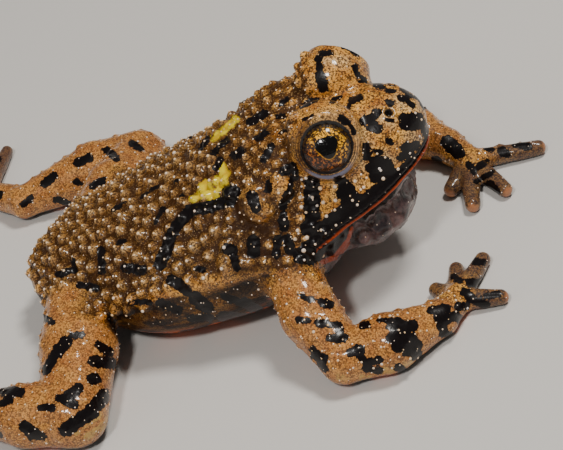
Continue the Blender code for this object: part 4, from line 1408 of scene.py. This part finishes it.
def skin_material(colours):
    paint = Paint("toad_skin", {
        "Coat Roughness": 0.11,
        "Specular IOR Level": 0.2,
        "Subsurface Weight": 0.06,
        "Subsurface Radius": (0.6, 0.25, 0.12),
        "Subsurface Scale": 0.0006,
    })
    place = paint.millimetres()
    mark = {name: paint.attribute(name) for name in SKIN_MARKS}
    speckle = paint.clouds(place, 4.4, 3.0, 0.65)
    grain = paint.grains(place, 6.0)
    tone = paint.clouds(place, 0.8, 4.0, 0.6)
    ragged = paint.clouds(place, 1.7, 4.0, 0.62) - 0.5
    spots = paint.clouds(place, 0.42, 3.0, 0.5)

    def patch(name, roughness, edge, width):
        """Share of a marking whose edge is ragged."""
        return (mark[name] + ragged * roughness).over(edge, width)

    # Painted shade from the strokes, in hollows and creases of the head and body
    shade = patch("shade", 0.5, -0.1, 0.5)
    ink = (mark["ink"] + ragged * 0.6 + (speckle - 0.5) * 0.22).over(-0.02, 0.04)
    net = grain.over(0.42, 0.25) * speckle.over(0.47, 0.1)
    grains_pale = 0.55 - mark["back"].larger(mark["limb"]) * 0.2
    mottle = paint.clouds(paint.millimetres((0.35, 1.0, 1.0)), 0.75, 4.0, 0.65)
    belly = paint.mix(spots.over(0.53, 0.03), colours.ink, colours.fire)
    throat = paint.mix(tone.over(0.55, 0.3), colours.slate, colours.lobe)
    # Painted shade: the green patches darker between their warts
    between = 1.0 - mark["swell"].over(0.15, 0.3)
    lemon = paint.mix(between * 0.45, colours.green, colours.rust)
    paint.drive("Base Color", paint.coats(colours.rust, [
        # Ground: tan, fleshy on the limbs, painted highlights, creamy, on the head, olive on the back
        (tone.over(0.5, 0.3), colours.tan),
        (mark["limb"] * 0.6, colours.flesh),
        (patch("bright", 1.5, 0.1, 1.2) * 0.7, colours.highlight_cream),
        (mark["back"] * 0.8, colours.olive),
        # Tops of the warts paler, partly their own colour and partly painted highlight; painted shade in
        # the hollows between them; pale grains in a net of dark lines
        (mark["swell"] ** 3.0 * spots.over(0.5, 0.3) * 0.8, colours.pale),
        (mark["hollow"] * tone.over(0.32, 0.4) * 0.95, colours.umber_and_shade),
        ((1.0 - grain.over(0.18, 0.2)) * grains_pale, colours.pale),
        (net * (0.9 - mark["limb"] * 0.2), colours.umber_and_shade),
        # Flank, painted shade in the hollows of the head, belly and throat
        (mark["flank"] * 0.85, colours.umber_and_shade),
        (mark["flank"] * mottle.over(0.5, 0.08) * 0.9, colours.ink),
        (shade * 0.9, colours.umber_and_shade),
        (mark["belly"], belly),
        (mark["throat"], throat),
        # Digits, patches and lids
        (mark["digit"].over(0.3, 0.3) * 0.75, colours.slate),
        (patch("tip", 0.4, 0.45, 0.2), colours.tip),
        (patch("green", 0.9, 0.0, 0.2), lemon),
        (patch("yellow", 1.5, 0.1, 0.3) * 0.85, colours.yellow),
        *lid_coats(mark, ragged, colours),
        # Black blotches, the lower lip, and painted shade in the line of the mouth and in the nostrils
        (ink, colours.ink),
        (patch("red", 0.15, 0.0, 0.08), colours.red),
        (mark["dark"], colours.ink),
    ]))

    # Gloss, least in the hollows, and the finest grain
    paint.drive("Roughness", 0.42 + speckle * 0.2 - ink * 0.18)
    dull = ink.larger(mark["flank"]).larger(mark["hollow"]).larger(shade)
    paint.drive("Coat Weight", (0.35 + tone * 0.65) * (1.0 - dull * 0.75))
    lines = paint.clouds(paint.millimetres((1.0, 0.3, 1.0)), 3.6, 3.0, 0.6)
    grit = ((1.0 - grain) * 0.6 + speckle * 0.5) * (1.0 - ink * 0.7)
    creases = lines * (1.0 - ink) * (0.4 + mark["limb"] * 0.6)
    paint.bump(grit + creases, colours.relief * MM)
    return paint.material


def tip_material(colours):
    paint = Paint("wart_tips", {"Roughness": 0.28, "Coat Weight": 0.6, "Coat Roughness": 0.06})
    cloud = paint.clouds(paint.millimetres(), 1.4, 2.0)
    paint.drive("Base Color", paint.mix(cloud.over(0.5, 0.4), colours.pale, colours.tip_white))
    paint.bump(paint.clouds(paint.millimetres(), 9.0, 2.0), 0.01 * MM)
    return paint.material


def eye_material(colours):
    """Gold iris with dark veins round a three-cornered pupil, under a clear wet surface."""
    paint = Paint("toad_eye", {
        "Coat Weight": 1.0, "Coat Roughness": 0.02, "Coat IOR": 1.4, "Specular IOR Level": 0.15,
    })
    iris_map = paint.value("ShaderNodeUVMap", {"uv_map": "iris"})
    parts = paint.node("ShaderNodeSeparateXYZ", inputs={0: iris_map})
    across = Value(paint, parts.outputs[0]) * 2.0 - 1.0
    upward = Value(paint, parts.outputs[1]) * 2.0 - 1.0
    out = (across * across + upward * upward).root()
    x = across - PUPIL_PLACE[0]
    y = upward - PUPIL_PLACE[1]
    turn = math.radians(PUPIL_TURN)
    along = x * math.cos(turn) + y * math.sin(turn)
    aside = y * math.cos(turn) - x * math.sin(turn)
    from_pupil = (x * x + y * y).root()
    corners = (along * along * along - 3.0 * along * aside * aside) / (from_pupil ** 3.0 + 0.002)
    edge = from_pupil / PUPIL_RADIUS - corners * PUPIL_CORNERS
    pupil = 1.0 - edge.over(1.0, 0.05)

    flat = paint.value("ShaderNodeCombineXYZ", inputs={0: across, 1: upward})
    veins = abs(paint.clouds(flat, 6.0, 1.0, 0.5, 0.6) - 0.5)
    flecks = paint.clouds(flat, 10.5, 1.0, 0.5)
    lit = (upward * 1.1 + across * 0.4 + (0.5 - flecks) * 2.4).over(0.1, 0.5)
    dark = (1.0 - veins.over(0.04, 0.03)).larger((flecks - upward * 0.04).over(0.5, 0.04))
    near_pupil = (1.0 - edge.over(1.10, 0.06)) * (-upward).over(-0.02, 0.3)
    rings = out.over(0.64, 0.02) - out.over(0.662, 0.02) + out.over(0.685, 0.03)
    paint.drive("Base Color", paint.coats(colours.iris_rust, [
        (lit, colours.iris_gold),
        (dark * 0.94, colours.iris_dark),
        (near_pupil * 0.35, colours.iris_gold),
        (rings * 0.92, colours.iris_dark),
        (pupil, PUPIL_BLACK),
    ]))
    paint.drive("Metallic", (1.0 - pupil) * (1.0 - dark) * 0.2)
    paint.drive("Roughness", 0.45 - pupil * 0.3)
    paint.bump(veins * 2.0 + flecks, 0.04 * MM)
    return paint.material


def floor_material(stage):
    paint = Paint("studio_floor", {"Roughness": 0.75})
    cloud = paint.clouds(paint.millimetres(), 0.02, 3.0)
    pale = tuple(value * FLOOR_CLOUDS for value in stage.floor_colour)
    paint.drive("Base Color", paint.mix(cloud, stage.floor_colour, pale))
    return paint.material


# Pieces

def make_eye(side):
    """The eyeball, with a map whose middle is the middle of the gaze."""
    mesh = bmesh.new()
    centre = mirrored(EYE_PLACE, side)
    across, upward, gaze = (Vector(axis) for axis in eye_axes(side))
    turn = Matrix((across, upward, gaze * -side)).transposed().to_4x4()
    around, down = EYE_PARTS
    bmesh.ops.create_uvsphere(mesh, u_segments=around, v_segments=down, radius=EYE_RADIUS)
    bmesh.ops.transform(mesh, matrix=Matrix.Translation(Vector(centre)) @ turn, verts=mesh.verts)
    bmesh.ops.recalc_face_normals(mesh, faces=mesh.faces)
    layer = mesh.loops.layers.uv.new("iris")
    for face in mesh.faces:
        for loop in face.loops:
            local = loop.vert.co - Vector(centre)
            loop[layer].uv = (0.5 + local.dot(across) / EYE_RADIUS / 2.0,
                              0.5 + local.dot(upward) / EYE_RADIUS / 2.0)
    for vertex in mesh.verts:
        vertex.co = Vector(to_frame(vertex.co))
    eye = object_from_bmesh("eyeball_" + side_name(side), mesh)
    eye.data.shade_smooth()
    return eye


def tips_tree():
    """Geometry nodes that set a small pale dome on each point."""
    tree = bpy.data.node_groups.new("wart_tips", "GeometryNodeTree")
    tree.is_modifier = True
    sockets = (
        ("Points", "INPUT", "NodeSocketGeometry"),
        ("Height share", "INPUT", "NodeSocketFloat"),
        ("Unevenness", "INPUT", "NodeSocketFloat"),
        ("Seed", "INPUT", "NodeSocketInt"),
        ("Material", "INPUT", "NodeSocketMaterial"),
        ("Domes", "OUTPUT", "NodeSocketGeometry"),
    )
    for name, direction, kind in sockets:
        tree.interface.new_socket(name, in_out=direction, socket_type=kind)

    nodes = Nodes(tree)
    source = {socket.name: Value(nodes, socket) for socket in nodes.node("NodeGroupInput").outputs}
    size = nodes.value("GeometryNodeInputNamedAttribute", {"data_type": "FLOAT"}, {"Name": "size"})
    lean = nodes.value("GeometryNodeInputNamedAttribute", {"data_type": "FLOAT_VECTOR"}, {"Name": "lean"})
    draw = nodes.value("FunctionNodeRandomValue", {"data_type": "FLOAT"}, {
        2: 1.0 - source["Unevenness"], 3: 1.0, "Seed": source["Seed"],
    }, 1)
    width = size * draw
    height = width * source["Height share"]
    scale = nodes.value("ShaderNodeCombineXYZ", None, {0: width, 1: width, 2: height})
    turn = nodes.value("FunctionNodeAlignRotationToVector", {"axis": "Z"}, {"Vector": lean})
    around, down = TIP_PARTS
    dome = nodes.value("GeometryNodeMeshUVSphere", None, {"Segments": around, "Rings": down, "Radius": 1.0})
    spread = nodes.value("GeometryNodeInstanceOnPoints", None, {
        "Points": source["Points"], "Instance": dome, "Rotation": turn, "Scale": scale,
    })
    solid = nodes.value("GeometryNodeRealizeInstances", None, {0: spread})
    smoothed = nodes.value("GeometryNodeSetShadeSmooth", None, {0: solid})
    coated = nodes.value("GeometryNodeSetMaterial", None, {
        "Geometry": smoothed, "Material": source["Material"],
    })
    nodes.node("NodeGroupOutput", None, {0: coated})
    return tree


def set_inputs(modifier, values):
    """Set a modifier's inputs through the identifiers of their sockets."""
    for socket in modifier.node_group.interface.items_tree:
        if socket.in_out == "INPUT" and socket.name in values:
            modifier[socket.identifier] = values[socket.name]


def make_tips(places, normals, sizes, settings, material):
    """One mesh with all the pale tips."""
    data = bpy.data.meshes.new("wart_tips")
    data.from_pydata([tuple(place) for place in to_frame(places)], [], [])
    size = data.attributes.new("size", "FLOAT", "POINT")
    size.data.foreach_set("value", (sizes * MM).astype(np.float32))
    lean = data.attributes.new("lean", "FLOAT_VECTOR", "POINT")
    lean.data.foreach_set("vector", normals.astype(np.float32).ravel())
    item = bpy.data.objects.new("wart_tips", data)
    bpy.context.scene.collection.objects.link(item)
    modifier = item.modifiers.new("Domes", "NODES")
    modifier.node_group = tips_tree()
    set_inputs(modifier, {
        "Height share": settings.tip_height,
        "Unevenness": TIP_UNEVENNESS,
        "Seed": SEED,
        "Material": material,
    })
    apply_modifiers(item)
    return item


def tip_places(surface, warts, points, marker):
    """Places, normals and sizes of the pale tips: on most warts, and small ones between them."""
    draw = np.random.default_rng(SEED + 2)
    places = []
    for place, radius, _ in warts:
        index, away = surface.near(place, radius)
        if len(index):
            size = min(radius * draw.uniform(*TIP_SHARES), LARGEST_TIP)
            places.append((index[np.argmin(away)], size))
    scatter = Scatter(SPINULE_CELL)
    clear = lid_distance(folded(surface.points)) > SPINULE_CLEAR
    clear &= surface.points[:, 2] > LOWEST_SPINULE
    wanted = np.flatnonzero(clear & (surface.normals[:, 2] > SPINULE_FACES_UP))
    for index in draw.choice(wanted, SPINULE_TRIES, replace=False):
        radius = draw.uniform(*SPINULE_RADII)
        if scatter.try_place(tuple(surface.points[index]), radius, SPINULE_ROOM):
            places.append((index, radius))
    for x, y, radius in FACE_TIPS:
        hit = seen_place(marker.tree, (x, y))
        if hit:
            index, away = surface.near(hit, TIP_SEARCH)
            places.append((index[np.argmin(away)], radius))
    index = np.array([place for place, _ in places])
    sizes = np.array([size for _, size in places])
    return points[index], surface.normals[index], sizes


# Settings, operators and panel

def length(name, description, default):
    return FloatProperty(name=name, description=description, default=default, unit="LENGTH",
                         subtype="DISTANCE", precision=5)


def paint_colour(name, description, default):
    return FloatVectorProperty(name=name, description=description, default=default, subtype="COLOR",
                               size=3, min=0.0, max=1.0)


class ToadShape(bpy.types.PropertyGroup):
    cell: length("Skin cell", "Size of the faces of the skin", 0.255 * MM)
    ripple: length("Ripple", "Height of the skin's slow unevenness", 0.05 * MM)
    tip_height: FloatProperty(name="Tip height", description="Height of a tip for its width",
                              default=0.75)


class ToadColours(bpy.types.PropertyGroup):
    tan: paint_colour("Tan", "Light skin of the head and limbs", (1.0, 0.49, 0.09))
    flesh: paint_colour("Flesh", "Pinker brown of the limbs", (0.50, 0.19, 0.055))
    # Painted highlight: the palest places of the head, where the light catches it
    highlight_cream: paint_colour("Cream", "Palest places of the head", (1.0, 0.72, 0.34))
    rust: paint_colour("Rust", "Darker, redder skin", (0.46, 0.16, 0.018))
    olive: paint_colour("Olive", "Skin of the back", (0.19, 0.085, 0.012))
    # Dark brown of the fine lines and the flank, and painted shade in the hollows between warts, round the
    # swelling behind the eye and at the back of the eyes
    umber_and_shade: paint_colour("Umber", "Fine lines and hollows between warts", (0.040, 0.012, 0.001))
    ink: paint_colour("Ink", "Black blotches", (0.005, 0.003, 0.0035))
    # Pale is also laid as painted highlight on the tops of the warts
    pale: paint_colour("Pale", "Tops of the warts", (1.0, 0.66, 0.30))
    tip_white: paint_colour("Tip white", "Tips of the warts", (0.90, 0.80, 0.74))
    green: paint_colour("Green", "Patches behind the shoulders", (0.80, 0.62, 0.0))
    yellow: paint_colour("Yellow", "Spots along the lower edge of the arms", (0.62, 0.38, 0.09))
    red: paint_colour("Red", "Line of the lower lip", (0.42, 0.055, 0.008))
    fire: paint_colour("Fire", "Spots of the belly", (0.62, 0.11, 0.01))
    slate: paint_colour("Slate", "Throat and digits", (0.036, 0.026, 0.030))
    lobe: paint_colour("Lobe", "Lighter skin of the throat", (0.26, 0.15, 0.145))
    lid: paint_colour("Lid", "Blue crescent of the lower lid", (0.16, 0.15, 0.21))
    lid_tan: paint_colour("Lid tan", "Wrinkled rim before the eye", (0.60, 0.35, 0.16))
    tip: paint_colour("Digit tip", "Tips of the fingers and toes", (0.42, 0.17, 0.07))
    iris_gold: paint_colour("Iris gold", "Lit part of the iris", (1.0, 0.48, 0.03))
    iris_rust: paint_colour("Iris rust", "Shaded part of the iris", (0.36, 0.10, 0.018))
    iris_dark: paint_colour("Iris dark", "Veins and rings of the iris", (0.008, 0.003, 0.002))
    relief: FloatProperty(name="Relief", description="Depth of the finest grain, in millimetres",
                          default=0.045)


class ToadStage(bpy.types.PropertyGroup):
    floor_colour: paint_colour("Floor", "Colour of the floor", (0.72, 0.70, 0.67))
    key_power: FloatProperty(name="Key", description="Power of the main light in watts", default=0.95)
    front_power: FloatProperty(name="Front", description="Power of the light by the camera in watts",
                               default=0.7)
    fill_power: FloatProperty(name="Fill", description="Power of the side light in watts", default=0.15)
    sky: FloatProperty(name="Sky", description="Strength of the light from all round", default=0.14)


class TOAD_OT_skin(bpy.types.Operator):
    """Make the skin with its warts, lids, lips, nostrils and markings, and the pale tips on it."""

    bl_idname = "toad.skin"
    bl_label = "Skin"

    def execute(self, context):
        shape = context.scene.toad_shape
        colours = context.scene.toad_colours
        skin = make_flesh(shape.cell / MM)
        polygons = [tuple(face.vertices) for face in skin.data.polygons]
        surface = Surface(mesh_points(skin.data))
        smooth_marker = Marker(surface.points, surface.normals, polygons)
        warts = scattered_warts(surface, smooth_marker.tree)
        height, swell = wart_relief(surface, warts, smooth_marker.tree)
        marks = region_marks(surface.points, surface.normals)
        height += fine_relief(surface.points, marks["throat"], shape.ripple / MM)
        points = surface.points + surface.normals * height[:, None]
        for side in (-1, 1):
            points = seat_lids(points, side)
        points[:, 2] = np.maximum(points[:, 2], 0.0)
        set_points(skin.data, to_frame(points))

        marker = Marker(points, surface.normals, polygons)
        marks.update(markings(surface, swell, marker, smooth_marker))
        for name in SKIN_MARKS:
            store(skin.data, name, marks[name])
        skin.data.materials.clear()
        skin.data.materials.append(skin_material(colours))
        skin.data.shade_smooth()
        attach(skin, BODY)
        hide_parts(*FLESH_NODES)

        places, leans, sizes = tip_places(surface, warts, points, smooth_marker)
        tips = make_tips(places, leans, sizes, shape, tip_material(colours))
        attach(tips, BODY)
        return {"FINISHED"}


class TOAD_OT_eyes(bpy.types.Operator):
    """Make both eyes."""

    bl_idname = "toad.eyes"
    bl_label = "Eyes"

    def execute(self, context):
        material = eye_material(context.scene.toad_colours)
        for side in (-1, 1):
            eye = make_eye(side)
            eye.data.materials.append(material)
            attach(eye, BODY)
            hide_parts("eye_" + side_name(side))
        return {"FINISHED"}


def add_light(name, place, size, power, tint):
    light = bpy.data.lights.new(name, "AREA")
    light.size = size
    light.energy = power
    light.color = tint
    item = bpy.data.objects.new(name, light)
    item.location = Vector(place)
    item.rotation_euler = (-Vector(place)).to_track_quat("-Z", "Y").to_euler()
    bpy.context.scene.collection.objects.link(item)


class TOAD_OT_stage(bpy.types.Operator):
    """Make the floor, the soft lights and the camera at the picture's viewing angle."""

    bl_idname = "toad.stage"
    bl_label = "Stage"

    def execute(self, context):
        stage = context.scene.toad_stage
        mesh = bmesh.new()
        bmesh.ops.create_grid(mesh, x_segments=1, y_segments=1, size=FLOOR_SIZE)
        floor = object_from_bmesh("floor", mesh)
        floor.data.materials.append(floor_material(stage))

        world = bpy.data.worlds.new("studio")
        world.use_nodes = True
        background = world.node_tree.nodes["Background"]
        background.inputs["Color"].default_value = SKY_COLOUR
        background.inputs["Strength"].default_value = stage.sky
        context.scene.world = world
        for name, (place, size, tint) in LIGHTS.items():
            add_light(name, place, size, getattr(stage, name + "_power"), tint)

        data = bpy.data.cameras.new("camera")
        data.lens = LENS
        data.sensor_width = SENSOR
        data.clip_start, data.clip_end = CAMERA_CLIP
        camera = bpy.data.objects.new("camera", data)
        turn = Matrix(CAMERA_AXES.tolist()).transposed().to_4x4()
        camera.matrix_world = Matrix.Translation(Vector(to_frame(CAMERA_PLACE))) @ turn
        context.scene.collection.objects.link(camera)
        context.scene.camera = camera
        return {"FINISHED"}


class TOAD_PT_build(bpy.types.Panel):
    bl_label = "Fire-bellied toad"
    bl_idname = "TOAD_PT_build"
    bl_space_type = "VIEW_3D"
    bl_region_type = "UI"
    bl_category = "Toad"

    def draw(self, context):
        for group in (context.scene.toad_shape, context.scene.toad_colours, context.scene.toad_stage):
            box = self.layout.box()
            for name in group.bl_rna.properties.keys():
                if name not in ("rna_type", "name"):
                    box.prop(group, name)
        for operator in STEPS:
            self.layout.operator(operator.bl_idname)


STEPS = (TOAD_OT_skin, TOAD_OT_eyes, TOAD_OT_stage)
GROUPS = {"toad_shape": ToadShape, "toad_colours": ToadColours, "toad_stage": ToadStage}


def register():
    for kind in (*GROUPS.values(), *STEPS, TOAD_PT_build):
        bpy.utils.register_class(kind)
    for name, kind in GROUPS.items():
        setattr(bpy.types.Scene, name, PointerProperty(type=kind))


def unregister():
    for name in GROUPS:
        delattr(bpy.types.Scene, name)
    for kind in (TOAD_PT_build, *STEPS, *GROUPS.values()):
        bpy.utils.unregister_class(kind)


def main():
    register()
    bpy.ops.toad.skin()
    bpy.ops.toad.eyes()
    bpy.ops.toad.stage()


if __name__ == "__main__":
    main()
